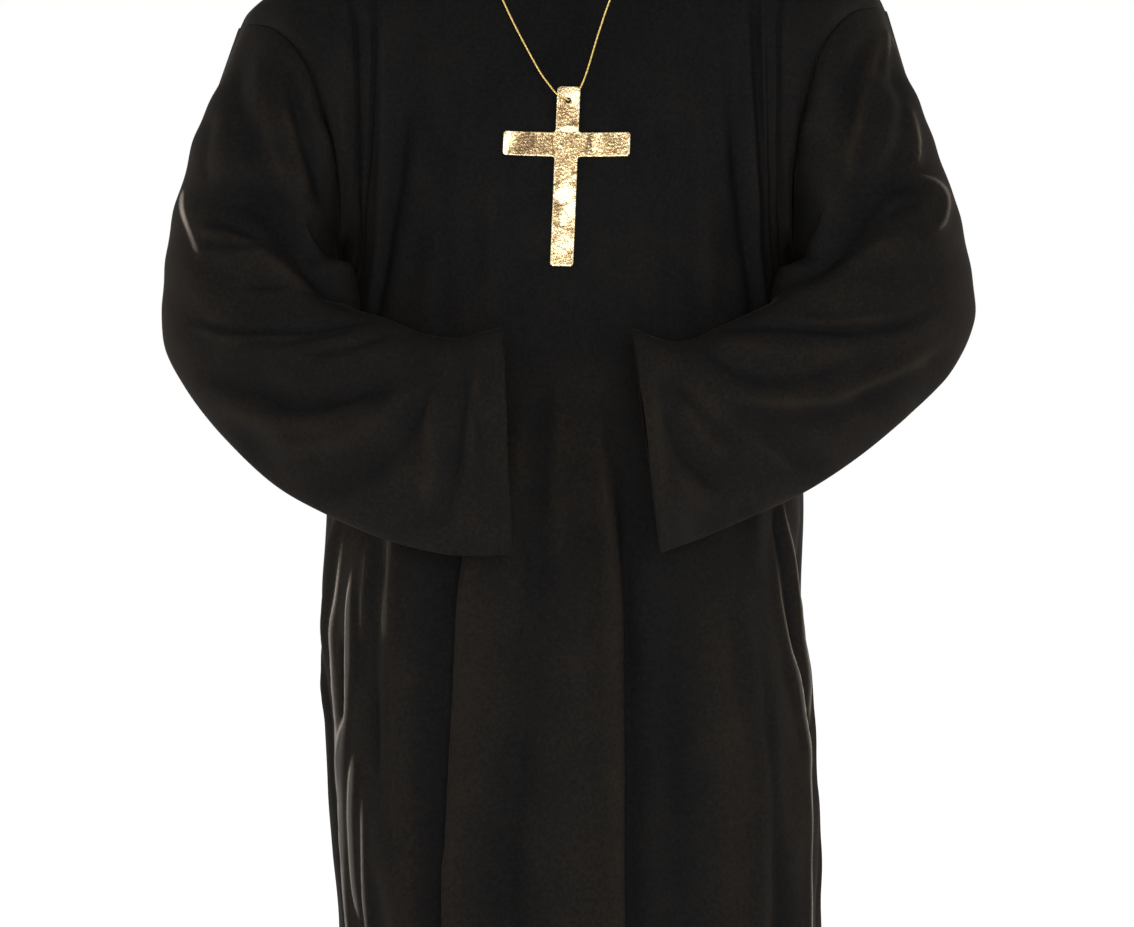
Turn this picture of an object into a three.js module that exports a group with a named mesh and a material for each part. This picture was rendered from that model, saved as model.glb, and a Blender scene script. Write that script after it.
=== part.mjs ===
// A priest costume: a long black velour robe with wide bell sleeves, filled out as it is worn with
// the two sleeve mouths brought together in front, and a gold cross hanging from a thin neck cord.
// Millimetres. +X is the right of someone who looks at the front, -Y is the front and +Z is up.
// The origin is the middle of the neck opening, at the height where the shoulder seams end.
import * as THREE from 'three';

// Driving dimensions
const WALL = 2.4; // velour pile, backing and seam allowance, as one wall
const SEAM_GAP = 0.3; // clearance between two pieces that are sewn together
const NECK_HALF = 78; // half the width of the neck opening
const NECK_CREST = 15; // the shoulder line carried on across the neck opening would rise by this
const NECK_DEPTH = { front: 0.36, back: 0.14 }; // where the neckline cuts the way down to the underarm
const UNDERARM = -330;
const HEM = -1400;
const SQUARENESS = 2.3; // 2 would make the body sections plain ellipses
const NECK_ANGLE = 66; // where the column under the neck point lies on a section, from the side seam

// Grid of each panel. Rows beside the armhole match the sleeve's first ring, point for point.
const ARMHOLE_STEPS = 15;
const SKIRT_STEPS = 13;
const SHOULDER_STEPS = 12;
const NECK_STEPS = { front: 16, back: 8 };
const SLEEVE_STEPS = 26;

// Body sections from the underarm to the hem: half widths to each side, depths to front and back.
const SECTIONS = [
  { z: UNDERARM, left: 212, right: 212, front: 150, back: 128 },
  { z: -400, left: 220, right: 218, front: 154, back: 124 },
  { z: -490, left: 226, right: 222, front: 158, back: 122 },
  { z: -578, left: 228, right: 224, front: 160, back: 126 },
  { z: -660, left: 232, right: 222, front: 160, back: 132 },
  { z: -753, left: 230, right: 231, front: 160, back: 136 },
  { z: -830, left: 227, right: 237, front: 161, back: 140 },
  { z: -896, left: 222, right: 239, front: 162, back: 143 },
  { z: -969, left: 216, right: 240, front: 164, back: 146 },
  { z: -1100, left: 218, right: 243, front: 168, back: 152 },
  { z: -1250, left: 227, right: 249, front: 175, back: 160 },
  { z: HEM, left: 238, right: 258, front: 184, back: 170 },
];

// Shoulder line of the left side, from the armhole in to the neck point.
const SHOULDER = [
  { x: -312, z: -115 },
  { x: -304, z: -101 },
  { x: -286, z: -86 },
  { x: -258, z: -71 },
  { x: -212, z: -52 },
  { x: -150, z: -29 },
  { x: -NECK_HALF, z: 0 },
];

// Armhole seam of the left side, from the shoulder line down to the underarm.
const ARMHOLE = {
  front: [
    { x: -312, y: 0, z: -115 },
    { x: -295, y: -37, z: -117 },
    { x: -263, y: -63, z: -128 },
    { x: -234, y: -77, z: -162 },
    { x: -220, y: -76, z: -214 },
    { x: -213, y: -55, z: -274 },
    { x: -212, y: -24, z: -317 },
    { x: -212, y: 0, z: UNDERARM },
  ],
  back: [
    { x: -312, y: 0, z: -115 },
    { x: -296, y: 38, z: -118 },
    { x: -266, y: 65, z: -131 },
    { x: -238, y: 80, z: -166 },
    { x: -222, y: 79, z: -218 },
    { x: -214, y: 58, z: -276 },
    { x: -212, y: 25, z: -318 },
    { x: -212, y: 0, z: UNDERARM },
  ],
};
// The right shoulder sits a little higher and further in than the left one.
const SHOULDER_SHIFT = { left: { x: 0, z: 0 }, right: { x: -8, z: 16 } };

// Sleeve sections from the armhole to the mouth. Each runs from its outer and lower point to its
// inner and upper one; half is its half depth across, and thin how much the lower part narrows.
const SLEEVES = {
  left: [
    { out: [-312, 0, -115], inn: [-212, 0, -330], half: 80, thin: 0 },
    { out: [-335, -8, -184], inn: [-213, -46, -346], half: 78, thin: 0 },
    { out: [-356, -14, -251], inn: [-210, -66, -361], half: 76, thin: 0 },
    { out: [-370, -22, -303], inn: [-207, -85, -373], half: 74, thin: 0.04 },
    { out: [-376, -32, -361], inn: [-203, -104, -382], half: 72, thin: 0.1 },
    { out: [-375, -48, -418], inn: [-195, -124, -388], half: 64, thin: 0.18 },
    { out: [-355, -70, -458], inn: [-187, -142, -391], half: 57, thin: 0.28 },
    { out: [-319, -98, -502], inn: [-170, -160, -395], half: 52, thin: 0.38 },
    { out: [-268, -132, -548], inn: [-151, -177, -403], half: 50, thin: 0.46 },
    { out: [-216, -166, -576], inn: [-131, -192, -411], half: 49, thin: 0.5 },
    { out: [-164, -194, -597], inn: [-110, -206, -416], half: 49, thin: 0.5 },
    { out: [-114, -214, -609], inn: [-91, -218, -416], half: 50, thin: 0.46 },
    { out: [-78, -228, -611], inn: [-73, -229, -411], half: 52, thin: 0.4 },
    { out: [-49, -238, -609], inn: [-57, -238, -408], half: 54, thin: 0.34 },
  ],
  right: [
    { out: [302, 0, -99], inn: [212, 0, -330], half: 82, thin: 0 },
    { out: [323, -8, -170], inn: [213, -46, -347], half: 79, thin: 0 },
    { out: [345, -14, -232], inn: [210, -66, -357], half: 76, thin: 0 },
    { out: [364, -22, -287], inn: [207, -85, -364], half: 74, thin: 0.04 },
    { out: [376, -32, -345], inn: [202, -104, -369], half: 72, thin: 0.1 },
    { out: [378, -48, -402], inn: [193, -123, -375], half: 64, thin: 0.18 },
    { out: [353, -70, -448], inn: [186, -141, -382], half: 57, thin: 0.28 },
    { out: [311, -98, -488], inn: [168, -159, -391], half: 52, thin: 0.38 },
    { out: [265, -132, -524], inn: [149, -176, -400], half: 50, thin: 0.46 },
    { out: [215, -165, -555], inn: [132, -191, -408], half: 49, thin: 0.5 },
    { out: [165, -194, -577], inn: [115, -206, -416], half: 49, thin: 0.5 },
    { out: [124, -210, -594], inn: [97, -215, -420], half: 50, thin: 0.46 },
    { out: [101, -227, -602], inn: [77, -228, -416], half: 52, thin: 0.4 },
    { out: [83, -238, -608], inn: [58, -238, -409], half: 54, thin: 0.34 },
  ],
};

// Folds. Each follows a line of points and stands out by rise, or sinks in where rise is below 0.
// left and right are its widths on each side of the line, seen while going along it.
// On the body a point is [distance round the body from the centre line, height].
const BODY_FOLDS = {
  front: [
    // The wide centre panel of the skirt stands out between two steep edges.
    { line: [[-84, -470], [-88, -616], [-102, -950], [-112, -1400]], rise: 12, left: 30, right: 9 },
    { line: [[-101, -470], [-106, -616], [-123, -950], [-138, -1400]], rise: -14, left: 9, right: 42 },
    { line: [[40, -470], [42, -603], [44, -950], [52, -1400]], rise: 12, left: 9, right: 28 },
    { line: [[58, -470], [60, -603], [64, -950], [78, -1400]], rise: -14, left: 42, right: 9 },
    // Softer folds inside that panel.
    { line: [[-20, -500], [-27, -660], [-52, -950], [-70, -1400]], rise: -7, left: 16, right: 14 },
    { line: [[2, -420], [-3, -600], [-14, -950], [-22, -1400]], rise: 6, left: 14, right: 15 },
    { line: [[15, -520], [15, -650], [18, -950], [22, -1400]], rise: -4, left: 10, right: 9 },
    // Folds beside each arm.
    { line: [[-236, -100], [-234, -170], [-240, -300], [-246, -400]], rise: -8, left: 15, right: 17 },
    { line: [[-168, -210], [-180, -300], [-188, -430]], rise: -6, left: 18, right: 17 },
    { line: [[222, -110], [224, -200], [232, -300], [240, -400]], rise: -9, left: 17, right: 18 },
    { line: [[172, -220], [180, -320], [186, -430]], rise: -5, left: 17, right: 17 },
    // Ridges on the two sides of the skirt.
    { line: [[-234, -560], [-256, -675], [-278, -780]], rise: 9, left: 15, right: 10 },
    { line: [[-226, -640], [-236, -770], [-230, -950], [-240, -1250]], rise: 7, left: 12, right: 10 },
    { line: [[-186, -900], [-190, -1100], [-200, -1400]], rise: -9, left: 18, right: 22 },
    { line: [[214, -560], [256, -722], [272, -860], [276, -980]], rise: 9, left: 10, right: 16 },
    { line: [[196, -860], [206, -1100], [222, -1400]], rise: -9, left: 22, right: 18 },
    { line: [[136, -960], [142, -1150], [150, -1400]], rise: 7, left: 20, right: 20 },
  ],
  back: [
    { line: [[-226, -150], [-220, -300], [-214, -520]], rise: -10, left: 14, right: 14 },
    { line: [[-150, -180], [-158, -500], [-176, -950], [-190, -1400]], rise: -10, left: 22, right: 16 },
    { line: [[-112, -240], [-118, -600], [-132, -1000], [-142, -1400]], rise: 9, left: 16, right: 20 },
    { line: [[-48, -140], [-54, -560], [-66, -1000], [-74, -1400]], rise: -9, left: 18, right: 22 },
    { line: [[-6, -300], [-8, -700], [-14, -1400]], rise: 8, left: 20, right: 18 },
    { line: [[52, -120], [50, -520], [58, -980], [66, -1400]], rise: -10, left: 18, right: 16 },
    { line: [[96, -260], [104, -660], [116, -1400]], rise: 8, left: 18, right: 20 },
    { line: [[150, -170], [160, -560], [170, -980], [186, -1400]], rise: -11, left: 16, right: 22 },
    { line: [[224, -150], [216, -320], [210, -540]], rise: -10, left: 14, right: 14 },
    { line: [[-238, -560], [-242, -900], [-250, -1400]], rise: 8, left: 18, right: 16 },
    { line: [[236, -600], [240, -940], [252, -1400]], rise: 8, left: 16, right: 18 },
  ],
};

// On a sleeve a point is [x, z] as seen from the front, and front and back are its two sides.
const SLEEVE_FOLDS = {
  left: {
    front: [
      // The crook of the elbow, and the roll of cloth below it.
      { line: [[-318, -282], [-294, -292], [-272, -313], [-250, -338]], rise: -12, left: 24, right: 20 },
      { line: [[-334, -318], [-304, -334], [-276, -358], [-240, -386]], rise: 6, left: 22, right: 26 },
      // Long swags of the forearm.
      { line: [[-345, -446], [-301, -466], [-246, -474], [-180, -460]], rise: -9, left: 26, right: 24 },
      // Drapes that spread from the top of the mouth.
      { line: [[-97, -424], [-130, -470], [-164, -512], [-206, -552]], rise: -8, left: 22, right: 22 },
      { line: [[-80, -430], [-92, -490], [-104, -560]], rise: 6, left: 20, right: 20 },
      // Upper arm.
      { line: [[-262, -130], [-252, -183], [-236, -250], [-226, -315]], rise: -7, left: 20, right: 20 },
      { line: [[-308, -170], [-292, -230], [-276, -290]], rise: -7, left: 22, right: 20 },
    ],
    back: [
      { line: [[-356, -300], [-316, -330], [-266, -348]], rise: -9, left: 24, right: 24 },
      { line: [[-370, -376], [-320, -394], [-262, -396]], rise: -7, left: 24, right: 24 },
      { line: [[-304, -150], [-298, -230], [-304, -300]], rise: -7, left: 24, right: 24 },
      { line: [[-330, -450], [-280, -484], [-200, -506]], rise: -7, left: 24, right: 24 },
    ],
  },
  right: {
    front: [
      { line: [[320, -262], [302, -274], [280, -294], [254, -322]], rise: -12, left: 20, right: 24 },
      { line: [[344, -292], [316, -310], [286, -336], [248, -366]], rise: 6, left: 26, right: 22 },
      { line: [[356, -376], [310, -404], [250, -412], [180, -406]], rise: -7, left: 22, right: 22 },
      { line: [[364, -420], [320, -452], [260, -474], [190, -472]], rise: 7, left: 22, right: 24 },
      { line: [[290, -500], [236, -512], [170, -500], [118, -446]], rise: -8, left: 22, right: 22 },
      { line: [[90, -440], [104, -499], [130, -546]], rise: -6, left: 20, right: 20 },
      { line: [[232, -120], [232, -190], [240, -276]], rise: -7, left: 20, right: 20 },
      { line: [[290, -110], [286, -180], [270, -262]], rise: 6, left: 20, right: 20 },
    ],
    back: [
      { line: [[348, -276], [308, -312], [262, -334]], rise: -9, left: 24, right: 24 },
      { line: [[366, -356], [318, -378], [262, -384]], rise: -7, left: 24, right: 24 },
      { line: [[298, -136], [294, -216], [300, -280]], rise: -7, left: 24, right: 24 },
      { line: [[328, -434], [280, -466], [200, -492]], rise: -7, left: 24, right: 24 },
    ],
  },
};
const FOLD_ENDS = 0.3; // share of a fold's length over which it rises from nothing, at each end
const SEAM_CALM = 0.09; // share of a panel or sleeve beside a seam where folds die away

// Gold cross: a flat plate of gold cloth stiffened inside, hung from a hole near its top. It rests
// on the curve of the chest, so that it leans, and it hangs slightly aslant.
const CROSS = {
  height: 168,
  span: 116,
  bar: 22.5,
  upright: 21,
  barBelowTop: 54.5,
  corner: 3,
  plate: 1.8,
  holeRadius: 2.6,
  holeBelowTop: 12.8,
  top: { x: 1.8, y: -129.8, z: -184 },
  lean: 9.6,
  slant: 2.4,
};

// Neck cord: its middle line, from inside the hole of the cross, up its left strand, round the
// back of the neck and down the right strand to the hole again.
const CORD_RADIUS = 0.9;
const CORD_SIDES = 8;
const CORD_STEPS_PER_POINT = 2;
const CORD = [
  [1.3, -132.95, -196.6],
  [0.4, -135.4, -196.1],
  [-1.8, -136.4, -194.8],
  [-9.1, -135.3, -191],
  [-16.5, -129.5, -181.5],
  [-24.8, -122, -169.3],
  [-38.7, -112.7, -143.5],
  [-50.8, -103, -119],
  [-59.3, -93.8, -100],
  [-67.5, -84, -81],
  [-75, -71.8, -61.2],
  [-81.5, -58.5, -44.8],
  [-87.5, -43.9, -30],
  [-91.6, -28.8, -18],
  [-94.2, -14.2, -9.7],
  [-94.4, 0, -4.9],
  [-92.4, 14, -9.5],
  [-85.8, 26.3, -16.6],
  [-73, 34, -22],
  [-57, 37.5, -24.4],
  [-38, 39.3, -25.4],
  [0, 40.2, -26.6],
  [42, 38.6, -24.8],
  [62, 35.5, -22.4],
  [78, 28.5, -17],
  [89, 16.5, -9.4],
  [92, 0, -3.2],
  [91.8, -14.4, -8],
  [87.8, -28.8, -16.8],
  [82, -44.4, -30],
  [70.5, -58.6, -44.6],
  [59, -71.8, -62.2],
  [48.5, -83.8, -81.8],
  [39.8, -93.6, -99.8],
  [28.6, -108.3, -133.9],
  [17.3, -122.6, -172],
  [9.5, -128.2, -189.4],
  [4.1, -129.3, -194.3],
  [2.1, -130.3, -195.9],
  [1.3, -132.65, -196.6],
];

const COLOURS = {
  velour: { color: 0x171615, roughness: 0.9, metalness: 0 },
  gold: { color: 0xd9b96a, roughness: 0.32, metalness: 0.85 },
  cord: { color: 0xd8b84a, roughness: 0.45, metalness: 0.5 },
};

const lerp = THREE.MathUtils.lerp;
const smoothstep = THREE.MathUtils.smoothstep;
const radians = THREE.MathUtils.degToRad;
const mirror = { left: 1, right: -1 };

// Smooth curve through the points of a table.
function curveThrough(points) {
  return new THREE.CatmullRomCurve3(points, false, 'catmullrom', 0.5);
}

// One column of SECTIONS at height z, as a smooth curve.
function sectionSize(column, z) {
  let i = 0;
  while (i < SECTIONS.length - 2 && SECTIONS[i + 1].z > z) i += 1;
  const slopeAt = (k) => {
    const above = SECTIONS[Math.max(k - 1, 0)];
    const below = SECTIONS[Math.min(k + 1, SECTIONS.length - 1)];
    return (below[column] - above[column]) / (below.z - above.z);
  };
  const a = SECTIONS[i];
  const b = SECTIONS[i + 1];
  const step = b.z - a.z;
  const t = THREE.MathUtils.clamp((z - a.z) / step, 0, 1);
  const bend = t * t * (3 - 2 * t);
  return lerp(a[column], b[column], bend)
    + step * (slopeAt(i) * t * (1 - t) ** 2 - slopeAt(i + 1) * t * t * (1 - t));
}

// Sum of all folds at a point of the flat map that the folds are drawn on.
function relief(folds, p, q) {
  let sum = 0;
  for (const fold of folds) {
    let nearest = { distance: Infinity };
    let walked = 0;
    for (let i = 1; i < fold.line.length; i += 1) {
      const [ax, ay] = fold.line[i - 1];
      const [bx, by] = fold.line[i];
      const dx = bx - ax;
      const dy = by - ay;
      const length = Math.hypot(dx, dy);
      const t = THREE.MathUtils.clamp(((p - ax) * dx + (q - ay) * dy) / length ** 2, 0, 1);
      const distance = Math.hypot(p - ax - t * dx, q - ay - t * dy);
      if (distance < nearest.distance) {
        nearest = { distance, onLeft: dx * (q - ay) - dy * (p - ax) > 0, along: walked + t * length };
      }
      walked += length;
    }
    const along = nearest.along / walked;
    const toHem = fold.line.at(-1)[1] === HEM;
    const ends = smoothstep(along, 0, FOLD_ENDS) * (toHem ? 1 : smoothstep(1 - along, 0, FOLD_ENDS));
    const width = nearest.onLeft ? fold.left : fold.right;
    sum += fold.rise * ends * Math.exp(-((nearest.distance / width) ** 2));
  }
  return sum;
}

// Armhole seam of one side: front or back half, from the shoulder at 0 to the underarm at 1.
const armholeCurves = {};
for (const side of ['left', 'right']) {
  for (const face of ['front', 'back']) {
    const shift = SHOULDER_SHIFT[side];
    const rows = ARMHOLE[face];
    armholeCurves[side + face] = curveThrough(rows.map((row) => {
      const fade = (row.z - UNDERARM) / (rows[0].z - UNDERARM);
      return new THREE.Vector3(mirror[side] * row.x + shift.x * fade, row.y, row.z + shift.z * fade);
    }));
  }
}
function armholePoint(side, face, s) {
  return armholeCurves[side + face].getPoint(s);
}

const shoulderCurves = {};
for (const side of ['left', 'right']) {
  const shift = SHOULDER_SHIFT[side];
  const neck = SHOULDER.at(-1);
  shoulderCurves[side] = curveThrough(SHOULDER.map((row) => {
    const fade = (row.x - neck.x) / (SHOULDER[0].x - neck.x);
    return new THREE.Vector3(mirror[side] * row.x + shift.x * fade, 0, row.z + shift.z * fade);
  }));
}

// A column of a panel, from the left armhole to the right one: the point of the shoulder line that
// it starts from, the angle round the body at which it runs down (0 at the left side seam, 180 at
// the right one), and how far down the neckline cuts it off.
function columnsOf(face) {
  const neck = NECK_STEPS[face];
  const count = 2 * SHOULDER_STEPS + neck;
  return Array.from({ length: count + 1 }, (_, j) => {
    if (j <= SHOULDER_STEPS) {
      const t = j / SHOULDER_STEPS;
      return { top: shoulderCurves.left.getPointAt(t), angle: NECK_ANGLE * t, cut: 0 };
    }
    if (j >= count - SHOULDER_STEPS) {
      const t = (count - j) / SHOULDER_STEPS;
      return { top: shoulderCurves.right.getPointAt(t), angle: 180 - NECK_ANGLE * t, cut: 0 };
    }
    const t = (j - SHOULDER_STEPS) / neck;
    const across = lerp(2 * t - 1, -Math.cos(Math.PI * t), 0.5);
    return {
      top: new THREE.Vector3(NECK_HALF * across, 0, NECK_CREST * (1 - across ** 2)),
      angle: 90 + (90 - NECK_ANGLE) * across,
      cut: NECK_DEPTH[face] * Math.sqrt(1 - across ** 2),
    };
  });
}

// Point on a body section.
function sectionPoint(face, angle, z) {
  const c = Math.cos(radians(angle));
  const s = Math.sin(radians(angle));
  const width = sectionSize(c > 0 ? 'left' : 'right', z);
  const depth = sectionSize(face, z) * (face === 'front' ? -1 : 1);
  const power = 2 / SQUARENESS;
  return new THREE.Vector3(-Math.sign(c) * width * Math.abs(c) ** power, depth * Math.abs(s) ** power, z);
}

// Distance round a middling section from the centre line to the given angle.
const GIRTH_STEP = 2;
const girthTable = [0];
for (let angle = 90; angle < 180; angle += GIRTH_STEP) {
  const a = sectionPoint('front', angle, -490);
  const b = sectionPoint('front', angle + GIRTH_STEP, -490);
  girthTable.push(girthTable.at(-1) + a.distanceTo(b));
}
function girth(angle) {
  const place = Math.abs(angle - 90) / GIRTH_STEP;
  const i = Math.min(Math.floor(place), girthTable.length - 2);
  return Math.sign(angle - 90) * lerp(girthTable[i], girthTable[i + 1], place - i);
}

const ARMHOLE_REACH = 0.25; // share of the panel's width over which it turns in to the armhole
const YOKE = { neck: { out: 1.6, down: 1.3 }, shoulder: { out: 1.9, down: 1.9 } };
const BLADES = { front: 14, back: 20 }; // fullness over the chest and the shoulder blades

// Smooth form of a panel above the underarm: s runs from the shoulder line at 0 to the underarm at 1.
function yokePoint(face, column, s) {
  const foot = sectionPoint(face, column.angle, UNDERARM);
  const toNeck = smoothstep(Math.abs(column.angle - 90), 10, 60);
  const outward = 1 - (1 - s) ** lerp(YOKE.neck.out, YOKE.shoulder.out, toNeck);
  const downward = s ** lerp(YOKE.neck.down, YOKE.shoulder.down, toNeck);
  const full = BLADES[face] * Math.abs(Math.sin(radians(2 * column.angle))) * Math.sin(Math.PI * s) ** 2;
  return new THREE.Vector3(
    lerp(column.top.x, foot.x, 1 - (1 - s) ** 1.5),
    lerp(column.top.y, foot.y, outward) + Math.sign(foot.y) * full,
    lerp(column.top.z, foot.z, downward),
  );
}

// Grid of the outer face of the front or the back, before its folds. Row 0 is the top edge.
function smoothPanel(face) {
  const columns = columnsOf(face);
  const last = columns.length - 1;
  const rows = [];
  for (let i = 0; i <= ARMHOLE_STEPS; i += 1) {
    const s = i / ARMHOLE_STEPS;
    const pull = {};
    for (const [side, column] of [['left', columns[0]], ['right', columns[last]]]) {
      pull[side] = armholePoint(side, face, s).sub(yokePoint(face, column, s));
    }
    rows.push(columns.map((column, j) => {
      const inLeft = Math.max(0, 1 - j / last / ARMHOLE_REACH);
      const inRight = Math.max(0, 1 - (last - j) / last / ARMHOLE_REACH);
      const point = yokePoint(face, column, lerp(column.cut, 1, s));
      point.addScaledVector(pull.left, inLeft * inLeft * (3 - 2 * inLeft));
      return point.addScaledVector(pull.right, inRight * inRight * (3 - 2 * inRight));
    }));
  }
  for (let i = 1; i <= SKIRT_STEPS; i += 1) {
    const z = lerp(UNDERARM, HEM, i / SKIRT_STEPS);
    rows.push(columns.map((column) => sectionPoint(face, column.angle, z)));
  }
  return { rows, columns };
}

// Outward direction at each point of a grid, from its neighbours. A ring closes on itself.
function outwardDirections(rows, closed, sign) {
  const width = rows[0].length;
  return rows.map((row, i) => row.map((_, j) => {
    const before = closed ? (j + width - 1) % width : Math.max(j - 1, 0);
    const after = closed ? (j + 1) % width : Math.min(j + 1, width - 1);
    const across = new THREE.Vector3().subVectors(row[after], row[before]);
    const above = rows[Math.max(i - 1, 0)][j];
    const below = rows[Math.min(i + 1, rows.length - 1)][j];
    return across.cross(new THREE.Vector3().subVectors(above, below)).setLength(sign);
  }));
}

// Sleeve before its folds, as a grid of rings from the armhole to the mouth. A ring starts at its
// outer point and goes round by the front.
const RING = 2 * ARMHOLE_STEPS;
const SEAM_BLEND = 0.24; // share of the sleeve over which the seam's shape turns into plain sections
function ringPlace(k) {
  const face = k <= ARMHOLE_STEPS ? 'front' : 'back';
  return { face, step: face === 'front' ? k : RING - k };
}
const ARM_CLEARANCE = 1.5; // between the underside of the upper arm and the side of the body
const SIDE_FLAT = 40; // height below the underarm over which the flat side by the armhole rounds off
// Moves a point of the sleeve out where it would lie in the side of the body.
function restOnBody(point, side, t) {
  const z = Math.min(point.z, UNDERARM);
  const depth = sectionSize(point.y < 0 ? 'front' : 'back', z);
  const rounded = smoothstep(UNDERARM - z, 0, SIDE_FLAT);
  const inward = Math.min(rounded * Math.abs(point.y) / depth, 1) ** SQUARENESS;
  const halfWidth = sectionSize(side, z) * (1 - inward) ** (1 / SQUARENESS);
  const least = halfWidth + ARM_CLEARANCE * smoothstep(t, 0, 0.05);
  if (Math.abs(point.x) < least && t < 0.5) point.x = -mirror[side] * least;
  return point;
}
function smoothSleeve(side) {
  const table = SLEEVES[side];
  const outer = curveThrough(table.map((row) => new THREE.Vector3(...row.out)));
  const inner = curveThrough(table.map((row) => new THREE.Vector3(...row.inn)));
  const shape = curveThrough(table.map((row) => new THREE.Vector3(row.half, row.thin, 0)));
  const middle = (t) => outer.getPoint(t).add(inner.getPoint(t)).multiplyScalar(0.5);
  const plainRing = (t) => {
    const centre = middle(t);
    const reach = outer.getPoint(t).sub(centre);
    const along = middle(Math.min(t + 0.02, 1)).sub(middle(Math.max(t - 0.02, 0)));
    const forward = new THREE.Vector3().crossVectors(reach, along).normalize();
    if (forward.y > 0) forward.negate();
    forward.lerp(new THREE.Vector3(0, -1, 0), smoothstep(t, 0.55, 1)).normalize();
    const { x: half, y: thin } = shape.getPoint(t);
    return Array.from({ length: RING }, (_, k) => {
      const turn = 2 * Math.PI * k / RING;
      const narrow = 1 - thin * (1 + Math.cos(turn)) / 2;
      return centre.clone().addScaledVector(reach, Math.cos(turn))
        .addScaledVector(forward, half * Math.sin(turn) * narrow);
    });
  };
  const start = plainRing(0);
  return Array.from({ length: SLEEVE_STEPS + 1 }, (_, i) => {
    const t = i / SLEEVE_STEPS;
    return plainRing(t).map((point, k) => {
      const { face, step } = ringPlace(k);
      const seam = armholePoint(side, face, step / ARMHOLE_STEPS).sub(start[k]);
      point.addScaledVector(seam, 1 - smoothstep(t, 0, SEAM_BLEND));
      return restOnBody(point, side, t);
    });
  });
}

// Smooth forms of the four pieces of the robe, with the outward directions of their points.
const panels = {};
for (const [face, sign] of [['front', 1], ['back', -1]]) {
  const { rows, columns } = smoothPanel(face);
  panels[face] = { rows, columns, sign, outward: outwardDirections(rows, false, sign) };
}
const sleeves = {};
for (const [side, sign] of [['left', 1], ['right', -1]]) {
  const rows = smoothSleeve(side);
  sleeves[side] = { rows, sign, outward: outwardDirections(rows, true, sign) };
}

// At a point of the armhole seam: the outward direction that a panel and the sleeve share there,
// and the way across the seam into the sleeve.
function armholeFrame(side, face, step) {
  const s = step / ARMHOLE_STEPS;
  const nudge = 0.01;
  const tangent = armholePoint(side, face, Math.min(s + nudge, 1))
    .sub(armholePoint(side, face, Math.max(s - nudge, 0))).normalize();
  const corner = step === 0 || step === ARMHOLE_STEPS;
  if (corner) tangent.set(0, (face === 'front' ? -1 : 1) * (step === 0 ? 1 : -1), 0);
  const panel = panels[face];
  const sleeve = sleeves[side];
  const edge = side === 'left' ? 0 : -1;
  const next = side === 'left' ? 1 : -2;
  const k = face === 'front' ? step : (RING - step) % RING;
  const squareToSeam = (v) => v.clone().addScaledVector(tangent, -v.dot(tangent)).normalize();
  const onPanel = squareToSeam(panel.outward[step].at(edge));
  const onSleeve = squareToSeam(sleeve.outward[0][k]);
  const normal = onPanel.add(onSleeve);
  // Under the arm the two walls nearly face each other, so the middle between them leads there.
  const row = panel.rows[step];
  const beside = step === ARMHOLE_STEPS ? panel.rows[step + 1].at(edge) : row.at(next);
  const intoPanel = squareToSeam(new THREE.Vector3().subVectors(beside, row.at(edge)));
  const intoSleeve = squareToSeam(new THREE.Vector3().subVectors(sleeve.rows[1][k], sleeve.rows[0][k]));
  normal.addScaledVector(intoPanel.add(intoSleeve), Math.max(0, 1 - normal.length())).normalize();
  const turn = (side === 'left') === (face === 'front') ? 1 : -1;
  const across = new THREE.Vector3().crossVectors(tangent, normal).multiplyScalar(turn);
  return { normal, across };
}

// Front or back panel with its folds, as a grid of outer points with their outward directions.
function foldedPanel(face) {
  const { rows, columns, sign, outward } = panels[face];
  const last = columns.length - 1;
  const folded = rows.map((row, i) => row.map((point, j) => {
    const toSide = smoothstep(Math.min(j, last - j) / last, 0, SEAM_CALM);
    const toTop = smoothstep(i / ARMHOLE_STEPS, 0, 3 * SEAM_CALM);
    const height = relief(BODY_FOLDS[face], girth(columns[j].angle), point.z);
    return point.clone().addScaledVector(outward[i][j], height * toSide * toTop);
  }));
  const normals = outwardDirections(folded, false, sign);

  // Edges that are sewn to another piece: the other piece has the same points and directions there.
  const seamY = -sign * SEAM_GAP / 2;
  for (let i = 0; i < rows.length; i += 1) {
    for (const [side, j] of [['left', 0], ['right', last]]) {
      if (i === 0 || i >= ARMHOLE_STEPS) {
        normals[i][j].setY(0).normalize();
        folded[i][j].y += seamY;
      }
      if (i <= ARMHOLE_STEPS) {
        const frame = armholeFrame(side, face, i);
        normals[i][j].copy(frame.normal);
        folded[i][j].addScaledVector(frame.across, -SEAM_GAP / 2);
      }
    }
  }
  for (let j = 1; j < last; j += 1) {
    if (j <= SHOULDER_STEPS || j >= last - SHOULDER_STEPS) {
      normals[0][j].setY(0).normalize();
      folded[0][j].y += seamY;
    }
  }
  return { rows: folded, normals, flip: sign < 0 };
}

function foldedSleeve(side) {
  const { rows, sign, outward } = sleeves[side];
  const folded = rows.map((ring, i) => ring.map((point, k) => {
    const toSeam = smoothstep(i / SLEEVE_STEPS, 0, SEAM_CALM);
    const turn = 2 * Math.PI * k / RING;
    const face = Math.sin(turn) > 0 ? 'front' : 'back';
    const toEdge = smoothstep(Math.abs(Math.sin(turn)), 0.05, 0.5);
    const height = relief(SLEEVE_FOLDS[side][face], point.x, point.z);
    return point.clone().addScaledVector(outward[i][k], height * toSeam * toEdge);
  }));
  const normals = outwardDirections(folded, true, sign);
  for (let k = 0; k < RING; k += 1) {
    const { face, step } = ringPlace(k);
    const frame = armholeFrame(side, face, step);
    normals[0][k].copy(frame.normal);
    folded[0][k].addScaledVector(frame.across, SEAM_GAP / 2);
  }
  return { rows: folded, normals, flip: sign < 0 };
}

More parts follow.
